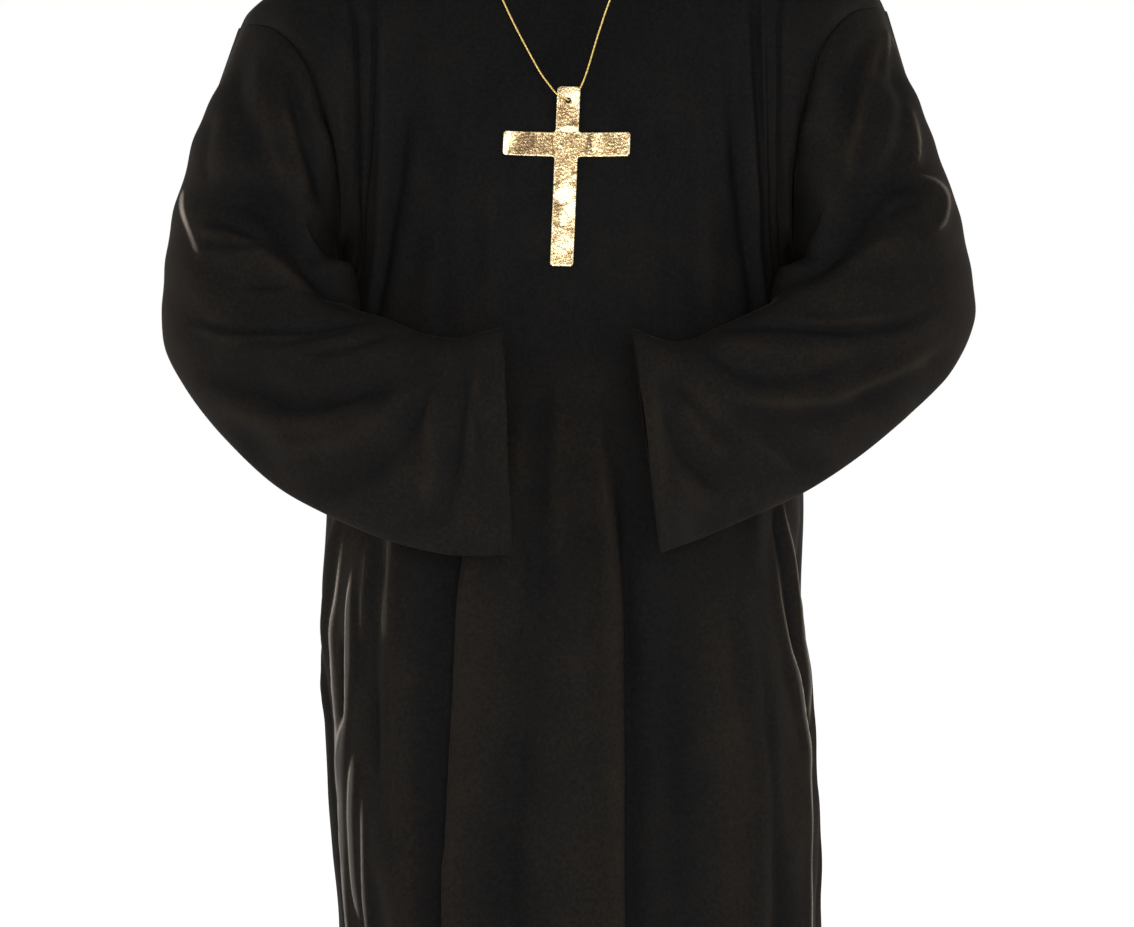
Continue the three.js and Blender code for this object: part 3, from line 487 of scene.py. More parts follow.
def relief(folds, p, q):
    """Sum of the folds at points p, q of the flat map that they are drawn on."""
    total = np.zeros(np.shape(p))
    for points, rise, left, right in folds:
        line = curve(points, np.linspace(0, 1, POINTS_A_SPAN * (len(points) - 1) + 1))
        least = np.full(np.shape(p), np.inf)
        on_left = np.zeros(np.shape(p), bool)
        along = np.zeros(np.shape(p))
        walked = 0.0
        for (ax, ay), (bx, by) in zip(line[:-1], line[1:]):
            dx, dy = bx - ax, by - ay
            length = math.hypot(dx, dy)
            t = np.clip(((p - ax) * dx + (q - ay) * dy) / length**2, 0, 1)
            distance = np.hypot(p - ax - t * dx, q - ay - t * dy)
            nearer = distance < least
            least = np.where(nearer, distance, least)
            on_left = np.where(nearer, dx * (q - ay) - dy * (p - ax) > 0, on_left)
            along = np.where(nearer, walked + t * length, along)
            walked += length
        along /= walked
        ends = smoothstep(along, 0, FOLD_ENDS)
        if points[-1][1] != HEM:
            ends *= smoothstep(1 - along, 0, FOLD_ENDS)
        sharpness = RIDGE_SHARPNESS if rise > 0 else CREASE_SHARPNESS
        total += rise * ends * np.exp(-((least / np.where(on_left, left, right)) ** sharpness))
    return total


def undulation(p, q, across, along, seed):
    """Smooth random waves of height about 1, with these typical lengths in p and in q."""
    rng = np.random.default_rng(seed)
    total = np.zeros(np.shape(p))
    for _ in range(WAVES_MIXED):
        turn = rng.uniform(0, 2 * math.pi)
        reach = rng.uniform(*WAVE_REACH)
        phase = rng.uniform(0, 2 * math.pi)
        travelled = math.cos(turn) * p / across + math.sin(turn) * q / along
        total += np.cos(2 * math.pi * reach * travelled + phase)
    return total / math.sqrt(WAVES_MIXED / 2)


# Robe: smooth forms
# Rows down an armhole seam, which are also a sleeve's steps half way round
AROUND = steps_closer_at(80, [(0, 0.04, 1.5), (1, 0.04, 1.5)])
SKIRT = lerp(UNDERARM, HEM, steps_closer_at(164, [(0.35, 0.25, 0.4), (1, 0.03, 3)])[1:])
SHOULDER_COLUMNS = steps_closer_at(70, [(0, 0.05, 2), (0.42, 0.2, 1)])
NECK_COLUMNS = np.linspace(0, 1, 59)[1:-1]
SHOULDER_SHARE = {"front": 0.3, "back": 0.375}  # how much of a panel's width each shoulder takes
# Powers by which the yoke widens, deepens and drops towards the underarm. The last two have one for
# the centre line and one for the armholes.
YOKE_WIDENS = 1.5
YOKE_DEEPENS = (1.6, 1.9)
YOKE_DROPS = (1.3, 1.9)
ARMHOLE_REACH = 0.25  # share of a panel's width that follows the armhole seam
BLADES = {"front": 14, "back": 20}  # fullness over the chest and the shoulder blades
GIRTH_HEIGHT = -490
SEAM_BLEND = 0.24  # share of a sleeve that turns from the armhole's shape into its own
ARM_CLEARANCE = 0.9  # between a sleeve and the body
ARM_HUG = 45  # draws the inner side of the upper sleeve against the body
HUG_FADES = ((0, 0.03), (0.2, 0.4))  # where along a sleeve that starts and ends
SIDE_FLAT = 18  # below the underarm the body's side rounds over this height
SIDE = {"left": 1, "right": -1}  # the shoulder and armhole tables are of the left side


def shifted(points, side, fade):
    """Points of the left side, mirrored for the right, with the shoulder's end moved."""
    x, z = SHOULDER_SHIFT[side]
    moved = points * [SIDE[side], 1, 1]
    return moved + fade[:, None] * np.array([x, 0, z])


def armhole(side, face, s):
    points = ARMHOLE[face]
    fade = (points[:, 2] - UNDERARM) / (points[0, 2] - UNDERARM)
    return curve(shifted(points, side, fade), s)


def shoulder(side, t):
    fade = (SHOULDER[:, 0] - SHOULDER[-1, 0]) / (SHOULDER[0, 0] - SHOULDER[-1, 0])
    return curve_evenly(shifted(SHOULDER, side, fade), t)


def section_size(column, z):
    """A size of the body's sections at any height, on a smooth curve through the table."""
    heights = SECTIONS[:, 0]
    sizes = SECTIONS[:, SECTION_COLUMN[column]]
    z = np.asarray(z, float)
    i = np.clip(np.searchsorted(-heights, -z) - 1, 0, len(heights) - 2)
    above = np.maximum(np.arange(len(heights)) - 1, 0)
    below = np.minimum(np.arange(len(heights)) + 1, len(heights) - 1)
    slope = (sizes[below] - sizes[above]) / (heights[below] - heights[above])
    step = heights[i + 1] - heights[i]
    t = np.clip((z - heights[i]) / step, 0, 1)
    lean = slope[i] * t * (1 - t) ** 2 - slope[i + 1] * t * t * (1 - t)
    return lerp(sizes[i], sizes[i + 1], smoothstep(t, 0, 1)) + step * lean


def section_points(face, angle, z):
    """Points on the body's sections, for arrays of angles and heights of one shape."""
    c, s = np.cos(np.radians(angle)), np.sin(np.radians(angle))
    width = np.where(c > 0, section_size("left", z), section_size("right", z))
    depth = section_size(face, z) * (-1 if face == "front" else 1)
    power = 2 / SQUARENESS
    x = -np.sign(c) * width * np.abs(c) ** power
    return np.stack([x, depth * np.abs(s) ** power, np.broadcast_to(z, np.shape(x))], -1)


def girth(angle):
    """Distance round a middling section from the centre line to each angle."""
    fine = np.arange(90, 181, 2.0)
    ring = section_points("front", fine, np.full(len(fine), float(GIRTH_HEIGHT)))
    walked = np.concatenate([[0], np.cumsum(np.linalg.norm(np.diff(ring, axis=0), axis=1))])
    return np.sign(angle - 90) * np.interp(np.abs(angle - 90), fine - 90, walked)


def outward(grid, closed, sign):
    """Unit vectors square to a grid, out of the cloth."""
    across = np.roll(grid, -1, 1) - np.roll(grid, 1, 1) if closed else np.gradient(grid, axis=1)
    return unit(np.cross(across, -np.gradient(grid, axis=0))) * sign


def softened(field, reach, closed=False):
    """Unit vectors evened out over this many rows and columns of a grid."""
    for axis in (0, 1):
        span = int(2.5 * reach[axis])
        weights = np.exp(-((np.arange(-span, span + 1) / reach[axis]) ** 2)) if span else np.ones(1)
        mode = "wrap" if closed and axis == 1 else "edge"
        padded = np.pad(field, [(span, span) if k == axis else (0, 0) for k in range(3)], mode=mode)
        count = field.shape[axis]
        field = sum(w * np.take(padded, np.arange(k, k + count), axis) for k, w in enumerate(weights))
    return unit(field)


def smooth_panel(face):
    """Grid of the front's or the back's outer face before its folds, with each column's angle and
    its place across the panel."""
    share = SHOULDER_SHARE[face]
    side_t, neck_t = SHOULDER_COLUMNS, NECK_COLUMNS
    across = lerp(2 * neck_t - 1, -np.cos(np.pi * neck_t), 0.5)
    crest = np.stack([NECK_HALF * across, 0 * across, NECK_CREST * (1 - across**2)], 1)
    top = np.vstack([shoulder("left", side_t), crest, shoulder("right", side_t)[::-1]])
    angle = np.concatenate([
        NECK_ANGLE * side_t,
        90 + (90 - NECK_ANGLE) * across,
        180 - NECK_ANGLE * side_t[::-1],
    ])
    none = 0 * side_t
    cut = np.concatenate([none, NECK_DEPTH[face] * np.sqrt(1 - across**2), none])
    place = np.concatenate([share * side_t, share + (1 - 2 * share) * neck_t, 1 - share * side_t[::-1]])

    s = lerp(cut[None, :], 1, AROUND[:, None])
    foot = section_points(face, angle, np.full(len(angle), float(UNDERARM)))
    to_neck = smoothstep(np.abs(angle - 90), 10, 60)
    out = 1 - (1 - s) ** lerp(*YOKE_DEEPENS, to_neck)
    down = s ** lerp(*YOKE_DROPS, to_neck)
    full = BLADES[face] * np.abs(np.sin(np.radians(2 * angle))) * np.sin(np.pi * s) ** 2
    yoke = np.stack([
        lerp(top[:, 0], foot[:, 0], 1 - (1 - s) ** YOKE_WIDENS),
        lerp(top[:, 1], foot[:, 1], out) + np.sign(foot[:, 1]) * full,
        lerp(top[:, 2], foot[:, 2], down),
    ], -1)
    for side, edge, near in (("left", 0, place), ("right", -1, 1 - place)):
        pull = armhole(side, face, AROUND) - yoke[:, edge]
        reach = np.maximum(0, 1 - near / ARMHOLE_REACH)
        yoke += pull[:, None, :] * smoothstep(reach, 0, 1)[None, :, None]
    heights, angles = np.meshgrid(SKIRT, angle, indexing="ij")
    return np.vstack([yoke, section_points(face, angles, heights)]), angle, place


RING_PLACES = np.concatenate([AROUND, AROUND[-2:0:-1]])
FRONT_HALF = np.arange(len(RING_PLACES)) < len(AROUND)
RING_TURNS = np.where(FRONT_HALF, np.pi * RING_PLACES, 2 * np.pi - np.pi * RING_PLACES)
SLEEVE_ROWS = steps_closer_at(290, [(0, 0.02, 1.5), (1, 0.025, 3)])
RING_NUDGE = 0.02
FOREARM = (0.55, 1)  # where along a sleeve its rings turn to face straight forward


def plain_rings(side, t):
    """Rings of a sleeve at t, from 0 at the armhole to 1 at the mouth, before it meets the body."""
    table = SLEEVES[side]
    outer = lambda u: curve(table[:, 0:3], u)
    inner = lambda u: curve(table[:, 3:6], u)
    middle = lambda u: (outer(u) + inner(u)) / 2
    centre = middle(t)
    reach = outer(t) - centre
    along = middle(np.minimum(t + RING_NUDGE, 1)) - middle(np.maximum(t - RING_NUDGE, 0))
    forward = unit(np.cross(reach, along))
    forward = np.where(forward[:, 1:2] > 0, -forward, forward)
    forward = unit(lerp(forward, np.array([0, -1, 0]), smoothstep(t, *FOREARM)[:, None]))
    half, thin, _ = curve(np.column_stack([table[:, 6:8], 0 * table[:, 6]]), t).T
    narrow = 1 - thin[:, None] * (1 + np.cos(RING_TURNS)) / 2
    return (
        centre[:, None]
        + reach[:, None] * np.cos(RING_TURNS)[None, :, None]
        + forward[:, None] * (half[:, None] * np.sin(RING_TURNS) * narrow)[:, :, None]
    )


def seam_ring(side):
    """The armhole seam, in the order in which a sleeve's ring goes round."""
    front = armhole(side, "front", RING_PLACES)
    back = armhole(side, "back", RING_PLACES)
    return np.where(FRONT_HALF[:, None], front, back)


def smooth_sleeve(side):
    """Grid of a sleeve's outer face before its folds, held off the body and drawn against it."""
    t = SLEEVE_ROWS
    rings = plain_rings(side, t)
    rings += (seam_ring(side) - rings[0]) * (1 - smoothstep(t, 0, SEAM_BLEND))[:, None, None]
    z = np.minimum(rings[..., 2], UNDERARM)
    depth = np.where(rings[..., 1] < 0, section_size("front", z), section_size("back", z))
    rounded = smoothstep(UNDERARM - z, 0, SIDE_FLAT)
    inward = np.minimum(rounded * np.abs(rings[..., 1]) / depth, 1) ** SQUARENESS
    least = section_size(side, z) * (1 - inward) ** (1 / SQUARENESS)
    least += ARM_CLEARANCE * smoothstep(t, 0, 0.05)[:, None]
    excess = np.maximum(np.abs(rings[..., 0]) - least, 0)
    inner = smoothstep(-np.cos(RING_TURNS), 0, 0.5)[None, :]
    starts, ends = HUG_FADES
    hug = ARM_HUG * inner * (smoothstep(t, *starts) * (1 - smoothstep(t, *ends)))[:, None]
    held = -SIDE[side] * (least + excess**2 / np.maximum(excess + hug, 1e-6))
    rings[..., 0] = np.where((t < 0.5)[:, None], held, rings[..., 0])
    return rings


FOLD_SOFTENING = (9, 2)  # rows and columns over which a sleeve's folds share their direction
WALL_SOFTENING = (4, 1)  # the same for its wall's thickness

panels = {}
for face, sign in (("front", 1), ("back", -1)):
    grid, angle, place = smooth_panel(face)
    out = outward(grid, False, sign)
    panels[face] = {"grid": grid, "angle": angle, "place": place, "sign": sign, "out": out}
sleeves = {}
for side in ("left", "right"):
    grid = smooth_sleeve(side)
    out = softened(outward(grid, True, SIDE[side]), FOLD_SOFTENING, True)
    sleeves[side] = {"grid": grid, "sign": SIDE[side], "out": out}


SEAM_NUDGE = 0.01


def armhole_frame(side, face):
    """Along an armhole seam: the outward direction that the panel and the sleeve share there, and
    the way across the seam into the sleeve."""
    last = len(AROUND) - 1
    tangent = unit(armhole(side, face, AROUND + SEAM_NUDGE) - armhole(side, face, AROUND - SEAM_NUDGE))
    forward = -1 if face == "front" else 1
    tangent[0] = (0, forward, 0)
    tangent[-1] = (0, -forward, 0)
    panel, sleeve = panels[face], sleeves[side]
    edge, beside = (0, 1) if side == "left" else (-1, -2)
    ring = np.arange(last + 1) if face == "front" else -np.arange(last + 1) % len(RING_PLACES)
    square = lambda v: unit(v - np.sum(v * tangent, 1, keepdims=True) * tangent)
    normal = square(panel["out"][: last + 1, edge]) + square(sleeve["out"][0, ring])
    here = panel["grid"][: last + 1, edge]
    inner = panel["grid"][: last + 1, beside].copy()
    inner[last] = panel["grid"][last + 1, edge]
    valley = square(inner - here) + square(sleeve["grid"][1, ring] - sleeve["grid"][0, ring])
    normal += valley * np.maximum(0, 1 - np.linalg.norm(normal, axis=1, keepdims=True))
    normal = unit(normal)
    turn = 1 if (side == "left") == (face == "front") else -1
    return normal, np.cross(tangent, normal) * turn


def walked_from(grid, axis, from_end=False):
    """Distance along the cloth from the first line of the grid, or from the last."""
    steps = np.linalg.norm(np.diff(grid, axis=axis), axis=-1)
    start = np.zeros_like(np.take(steps, [0], axis))
    walked = np.concatenate([start, np.cumsum(steps, axis)], axis)
    return np.take(walked, [-1], axis) - walked if from_end else walked


SIDE_SEAM = (1.4, 3.2)  # how far a sewn edge turns in, and over what width
ARM_SEAM = (0.25, 2.0)
SEAM_FILL = 20  # the gathered cloth stands out by this along an armhole
SEAM_FILL_REACH = 36
CHEST_TONE = -0.25  # how much darker (below 0) or paler (above 0) each region is painted
SKIRT_TONE = 0.12
SLEEVE_TONE = 0.15
FOLD_HIGHLIGHT_LIMIT = 0.65  # the palest that a fold's crest is painted, as lit
PANEL_SHADE_HEIGHTS = (16, 5, 14)  # heights of fold, crease and wave that change the painted shade and light by 1
SLEEVE_SHADE_HEIGHTS = (14, 4.5, 10)
NECK_HEM = 9
SKIRT_HEM = 24
MOUTH_HEM = 10
MOUTH_HEM_SHARE = 0.45  # of the other hems' height
HEM_RISE = 0.9
HEM_END = (1.5, 2.5)  # the doubled cloth ends from here before the stitching to here after it
HEM_EDGE = (1.1, 1.6)  # how far the edge turns in, and over what width
HEM_STITCHING = (0.8, 1.7)
WAIST = (520, 760)  # between these depths the painted tone changes from the chest's to the skirt's
LOWER_SKIRT = (480, 1200)  # between these the long waves grow and the short ones fade
LONG_WAVES = (62, 700)  # lengths across and down
LONG_WAVE_HEIGHTS = (0.5, 2.5)
SHORT_WAVES = (48, 90)
SHORT_WAVE_HEIGHTS = (0.7, 0.4)
SLEEVE_WAVES = (70, 60)
SLEEVE_WAVE_HEIGHT = 0.9
SLEEVE_WAVE_SLANT = 0.4
WAVE_SEEDS = {"front": (3, 8), "back": (5, 9), "left": 12, "right": 13}


def dip(seam, distance):
    """How far the cloth turns in at this distance from a seam."""
    depth, width = seam
    return depth * np.exp(-((distance / width) ** 2))


def hem_profile(distance, width):
    """Height of a turned and stitched hem, by the distance from its edge."""
    before, after = HEM_END
    band = HEM_RISE * (1 - smoothstep(distance, width - before, width + after))
    return band - dip(HEM_EDGE, distance) - dip(HEM_STITCHING, distance - width)


def painted_fold_shade(heights, broad, fine, waves):
    """Painted shade and light from folds, creases and waves: darker in the hollows, paler on the crests."""
    by_fold, by_crease, by_wave = heights
    return np.minimum(broad / by_fold + fine / by_crease + waves / by_wave, FOLD_HIGHLIGHT_LIMIT)


ARMHOLE_FRAMES = {(side, face): armhole_frame(side, face) for side in SIDE for face in ("front", "back")}
FILL = SEAM_FILL * smoothstep(AROUND, 0, 0.5) * smoothstep(1 - AROUND, 0, 0.14)


def folded_panel(face):
    """Outer points, directions out of the cloth, cloth coordinates and painted light and shade, for the
    front or the back, and whether its faces are turned over."""
    panel = panels[face]
    grid, sign, place = panel["grid"], panel["sign"], panel["place"]
    round_body = np.broadcast_to(girth(panel["angle"]), grid.shape[:2])
    z = grid[..., 2]
    down = np.concatenate([AROUND, np.full(len(SKIRT), 1.0)])
    to_side = smoothstep(np.minimum(place, 1 - place), 0, PANEL_CALM)[None, :]
    to_top = smoothstep(down, 0, TOP_CALM)[:, None]
    calm = to_side * to_top
    broad = relief(BODY_FOLDS[face], round_body, z)
    fine = relief(BODY_CREASES[face], round_body, z)
    low = smoothstep(-z, *LOWER_SKIRT)
    long_seed, short_seed = WAVE_SEEDS[face]
    waves = lerp(*LONG_WAVE_HEIGHTS, low) * undulation(round_body, z, *LONG_WAVES, long_seed)
    waves = waves + lerp(*SHORT_WAVE_HEIGHTS, low) * undulation(round_body, z, *SHORT_WAVES, short_seed)
    height = (broad + fine + waves) * calm
    # Painted highlights on streaks and ridges
    painted_highlights = relief(BODY_PAINTED_HIGHLIGHTS[face], round_body, z)
    region = lerp(CHEST_TONE, SKIRT_TONE, smoothstep(-z, *WAIST))
    # Painted shade in the hollows and painted light on the crests, the painted highlights, and the region's
    # tone
    painted_light_and_shade = painted_fold_shade(PANEL_SHADE_HEIGHTS, broad, fine, waves) * calm + painted_highlights + region

    from_left = walked_from(grid, 1)
    from_right = walked_from(grid, 1, True)
    from_hem = walked_from(grid, 0, True)
    from_top = walked_from(grid, 0)
    neck = (place > SHOULDER_SHARE[face]) & (place < 1 - SHOULDER_SHARE[face])
    below = z < UNDERARM + 1
    for distance in (from_left, from_right):
        height = height - np.where(below, dip(SIDE_SEAM, distance), dip(ARM_SEAM, distance))
    height = height - np.where(neck, 0, dip(SIDE_SEAM, from_top))
    height = height + np.where(neck, hem_profile(from_top, NECK_HEM), 0) + hem_profile(from_hem, SKIRT_HEM)
    folded = grid + panel["out"] * height[..., None]
    sideways = unit(np.gradient(grid, axis=1))
    folded += sideways * (relief(BODY_LEANS[face], round_body, z) * calm)[..., None]
    last = len(AROUND) - 1
    for side, distance in (("left", from_left), ("right", from_right)):
        rise = FILL[:, None] * np.exp(-((distance[: last + 1] / SEAM_FILL_REACH) ** 2))
        folded[: last + 1] += ARMHOLE_FRAMES[side, face][0][:, None] * rise[..., None]
    normals = outward(folded, False, sign)

    seam_y = -sign * SEAM_GAP / 2
    for side, edge in (("left", 0), ("right", -1)):
        flat = normals[last:, edge].copy()
        flat[:, 1] = 0
        normals[last:, edge] = unit(flat)
        folded[last:, edge, 1] += seam_y
        normal, across = ARMHOLE_FRAMES[side, face]
        normals[: last + 1, edge] = normal
        folded[: last + 1, edge] -= across * SEAM_GAP / 2
    sewn = np.where(~neck)[0][1:-1]
    flat = normals[0, sewn].copy()
    flat[:, 1] = 0
    normals[0, sewn] = unit(flat)
    folded[0, sewn, 1] += seam_y
    uv = np.stack([round_body, -from_hem], -1)
    return folded, normals, uv, painted_light_and_shade, sign < 0


def front_and_back(folds, side, x, z):
    """Relief of a sleeve from the folds of its front where it is in front, and of its back behind."""
    front, back = (relief(folds[side, face], x, z) for face in ("front", "back"))
    return np.where(FRONT_HALF[None, :], front, back)


def folded_sleeve(side):
    """The same for a sleeve."""
    sleeve = sleeves[side]
    grid = sleeve["grid"]
    x, z = grid[..., 0], grid[..., 2]
    to_seam = smoothstep(SLEEVE_ROWS, 0, SLEEVE_CALM)[:, None]
    to_edge = smoothstep(np.abs(np.sin(RING_TURNS)), *SLEEVE_EDGE_CALM)[None, :]
    calm = to_seam * to_edge
    broad = front_and_back(SLEEVE_FOLDS, side, x, z)
    fine = front_and_back(SLEEVE_CREASES, side, x, z)
    slanted = x + SLEEVE_WAVE_SLANT * z
    waves = SLEEVE_WAVE_HEIGHT * undulation(slanted, z, *SLEEVE_WAVES, WAVE_SEEDS[side])
    height = (broad + fine + waves) * calm
    # Painted highlights on the sleeve's front
    painted_highlights = np.where(FRONT_HALF[None, :], relief(SLEEVE_PAINTED_HIGHLIGHTS[side], x, z), 0)
    # The same painted shade, light and highlights for a sleeve, and its tone
    painted_light_and_shade = (painted_fold_shade(SLEEVE_SHADE_HEIGHTS, broad, fine, waves) + painted_highlights) * calm + SLEEVE_TONE
    from_seam = walked_from(grid, 0)
    from_mouth = walked_from(grid, 0, True)
    height = height - dip(ARM_SEAM, from_seam) + MOUTH_HEM_SHARE * hem_profile(from_mouth, MOUTH_HEM)
    folded = grid + sleeve["out"] * height[..., None]
    rings = {
        "front": np.arange(len(AROUND)),
        "back": -np.arange(len(AROUND)) % len(RING_PLACES),
    }
    for face, ring in rings.items():
        rise = FILL[None, :] * np.exp(-((from_seam[:, ring] / SEAM_FILL_REACH) ** 2))
        folded[:, ring] += ARMHOLE_FRAMES[side, face][0][None] * rise[..., None]
    normals = softened(outward(folded, True, sleeve["sign"]), WALL_SOFTENING, True)
    for face, ring in rings.items():
        normal, across = ARMHOLE_FRAMES[side, face]
        normals[0, ring] = normal
        folded[0, ring] += across * SEAM_GAP / 2
    uv = np.stack([walked_from(grid, 1), -from_mouth], -1)
    return folded, normals, uv, painted_light_and_shade, sleeve["sign"] < 0


def new_object(name, vertices, faces):
    mesh = bpy.data.meshes.new(name)
    mesh.from_pydata(vertices.tolist(), [], faces)
    mesh.update()
    piece = bpy.data.objects.new(name, mesh)
    bpy.context.scene.collection.objects.link(piece)
    for polygon in mesh.polygons:
        polygon.use_smooth = True
    return piece


def cloth(name, folded, normals, uv, painted_light_and_shade, flip, closed):
    """Closed wall of cloth from a grid of outer points, with rims along its edges."""
    rows, columns = folded.shape[:2]
    count = rows * columns
    outer = folded.reshape(-1, 3)
    inner = (folded - normals * CLOTH).reshape(-1, 3)
    vertices = np.vstack([outer, inner]) * MM
    i, j = np.meshgrid(np.arange(rows - 1), np.arange(columns if closed else columns - 1), indexing="ij")
    i, j = i.ravel(), j.ravel()
    k = (j + 1) % columns
    a, b, c, d = i * columns + j, (i + 1) * columns + j, (i + 1) * columns + k, i * columns + k
    faces = [np.stack([a, b, c, d], 1), np.stack([a, d, c, b], 1) + count]

    def rim(line):
        line = np.asarray(line)
        p, q = line[:-1], line[1:]
        faces.append(np.stack([p, q, q + count, p + count], 1))

    top = np.arange(columns)
    bottom = (rows - 1) * columns + top
    if closed:
        top, bottom = np.append(top, top[0]), np.append(bottom, bottom[0])
    rim(top)
    rim(bottom[::-1])
    if not closed:
        rim((np.arange(rows) * columns)[::-1])
        rim(np.arange(rows) * columns + columns - 1)
    faces = np.vstack(faces)
    if flip:
        faces = faces[:, ::-1]
    piece = new_object(name, vertices, faces.tolist())
    layer = piece.data.uv_layers.new(name="cloth")
    spots = np.vstack([uv.reshape(-1, 2)] * 2) * MM
    loops = np.empty(len(piece.data.loops), int)
    piece.data.loops.foreach_get("vertex_index", loops)
    layer.data.foreach_set("uv", spots[loops].ravel())
    # Painted light and shade, which the velour's colour reads
    painted_shade_and_tone = piece.data.attributes.new("painted_light_and_shade", "FLOAT", "POINT")
    painted_shade_and_tone.data.foreach_set("value", np.tile(painted_light_and_shade.ravel(), 2))
    return piece


# Materials
def add_nodes(material):
    """The material's node tree and its shader."""
    material.use_nodes = True
    tree = material.node_tree
    return tree, tree.nodes["Principled BSDF"]


def join(tree, source, output, target, socket):
    tree.links.new(source.outputs[output], target.inputs[socket])


def noise(tree, place, scale, detail, distortion=0.0):
    node = tree.nodes.new("ShaderNodeTexNoise")
    node.inputs["Scale"].default_value = scale
    node.inputs["Detail"].default_value = detail
    node.inputs["Distortion"].default_value = distortion
    tree.links.new(place, node.inputs["Vector"])
    return node


def ramp(tree, source, output, stops):
    node = tree.nodes.new("ShaderNodeValToRGB")
    elements = node.color_ramp.elements
    while len(elements) < len(stops):
        elements.new(0.5)
    for element, (position, colour) in zip(elements, stops):
        element.position = position
        element.color = (*colour, 1)
    join(tree, source, output, node, "Fac")
    return node


def attribute(tree, name):
    node = tree.nodes.new("ShaderNodeAttribute")
    node.attribute_name = name
    return node


def sum_of(tree, terms, constant):
    """Adds up terms, (node, output, factor) each, and a constant. A noise is about 0.5 on average, so
    the constant has half its factor taken off."""
    total = None
    for node, output, factor in terms:
        step = tree.nodes.new("ShaderNodeMath")
        step.operation = "MULTIPLY_ADD"
        join(tree, node, output, step, 0)
        step.inputs[1].default_value = factor
        if total is None:
            step.inputs[2].default_value = constant
        else:
            join(tree, total, "Value", step, 2)
        total = step
    return total


def spread(tree, source, output, low, high, at_low, at_high):
    """Turns low..high of a value into at_low..at_high."""
    node = tree.nodes.new("ShaderNodeMapRange")
    join(tree, source, output, node, "Value")
    for name, value in (("From Min", low), ("From Max", high), ("To Min", at_low), ("To Max", at_high)):
        node.inputs[name].default_value = value
    return node


def add_bumps(tree, shader, bumps):
    """Bumps one over another: (node, strength, distance) each."""
    last = None
    for node, strength, distance in bumps:
        bump = tree.nodes.new("ShaderNodeBump")
        bump.inputs["Strength"].default_value = strength
        bump.inputs["Distance"].default_value = distance
        join(tree, node, "Fac", bump, "Height")
        if last:
            join(tree, last, "Normal", bump, "Normal")
        last = bump
    join(tree, last, "Normal", shader, "Normal")


HIGHLIGHT_GLOSS = (0.9, 2)  # the painted light at which the velour begins to turn glossier, and is glossiest
WARM_SHEEN = (1.0, 0.55, 0.26, 1)


def velour_material():
    """Black velour with painted shade, darker in the creases, and painted light, paler and browner on
    the crests of the folds, with a random mottle all over. In the painted highlights it is glossier too."""
    material = bpy.data.materials.new("black_velour")
    tree, shader = add_nodes(material)
    place = tree.nodes.new("ShaderNodeTexCoord").outputs["Object"]
    # The painted light and shade of the cloth
    painted_light_and_shade = attribute(tree, "painted_light_and_shade")
    patches = noise(tree, place, 16, 4, 0.6)
    mottle = noise(tree, place, 330, 3, 0.3)
    painted_shade_and_tone = sum_of(
        tree,
        [(painted_light_and_shade, "Fac", 0.32), (patches, "Fac", 0.4), (mottle, "Fac", 0.95)],
        0.38 - 0.2 - 0.475,
    )
    # Colours from painted shade in the creases, through the velour's own near-black, to painted light on
    # the crests and highlights
    stops = [
        (0.0, (0.0014, 0.0013, 0.0014)),
        (0.25, (0.0027, 0.0025, 0.0025)),
        (0.42, (0.0039, 0.0034, 0.0030)),
        (0.62, (0.0061, 0.0047, 0.0034)),
        (0.82, (0.0082, 0.0060, 0.0042)),
        (1.0, (0.012, 0.0095, 0.0075)),
    ]
    join(tree, ramp(tree, painted_shade_and_tone, "Value", stops), "Color", shader, "Base Color")
    # Glossier where the painted highlights are
    for socket, off_highlight, on_highlight in (("Roughness", 0.8, 0.4), ("Specular IOR Level", 0.06, 0.5)):
        gloss = spread(tree, painted_light_and_shade, "Fac", *HIGHLIGHT_GLOSS, off_highlight, on_highlight)
        join(tree, gloss, "Result", shader, socket)
    shader.inputs["Sheen Weight"].default_value = 0.03
    shader.inputs["Sheen Roughness"].default_value = 0.12
    shader.inputs["Sheen Tint"].default_value = WARM_SHEEN
    pile, clumps = noise(tree, place, 1500, 2), noise(tree, place, 260, 3)
    add_bumps(tree, shader, [(pile, 0.35, 0.0004), (clumps, 0.3, 0.0009)])
    return material


def gold_cloth_material():
    """Gold foil cloth, pebbled, with painted reflections: brown and dull in places, nearly white where it
    catches the light.
    """
    material = bpy.data.materials.new("gold_cloth")
    tree, shader = add_nodes(material)
    place = tree.nodes.new("ShaderNodeTexCoord").outputs["Object"]
    pebbles = noise(tree, place, 560, 2, 1.8)
    patches = noise(tree, place, 90, 3, 0.8)
    # The pebbles paint glints and shade into the foil's colour; the larger patches vary at random
    tone = sum_of(
        tree,
        [(attribute(tree, "painted_glare_and_stitches"), "Fac", 0.5), (pebbles, "Fac", 2.6), (patches, "Fac", 0.8)],
        0.52 - 1.3 - 0.4,
    )
    # Colours from painted dull reflection and shade to painted pale reflection
    stops = [
        (0.0, (0.095, 0.062, 0.036)),
        (0.3, (0.205, 0.133, 0.058)),
        (0.52, (0.335, 0.228, 0.105)),
        (0.74, (0.56, 0.43, 0.235)),
        (1.0, (0.80, 0.71, 0.46)),
    ]
    join(tree, ramp(tree, tone, "Value", stops), "Color", shader, "Base Color")
    shader.inputs["Metallic"].default_value = 0.85
    shader.inputs["Roughness"].default_value = 0.28
    add_bumps(tree, shader, [(pebbles, 0.5, 0.0008), (noise(tree, place, 1500, 2), 0.3, 0.0003)])
    return material


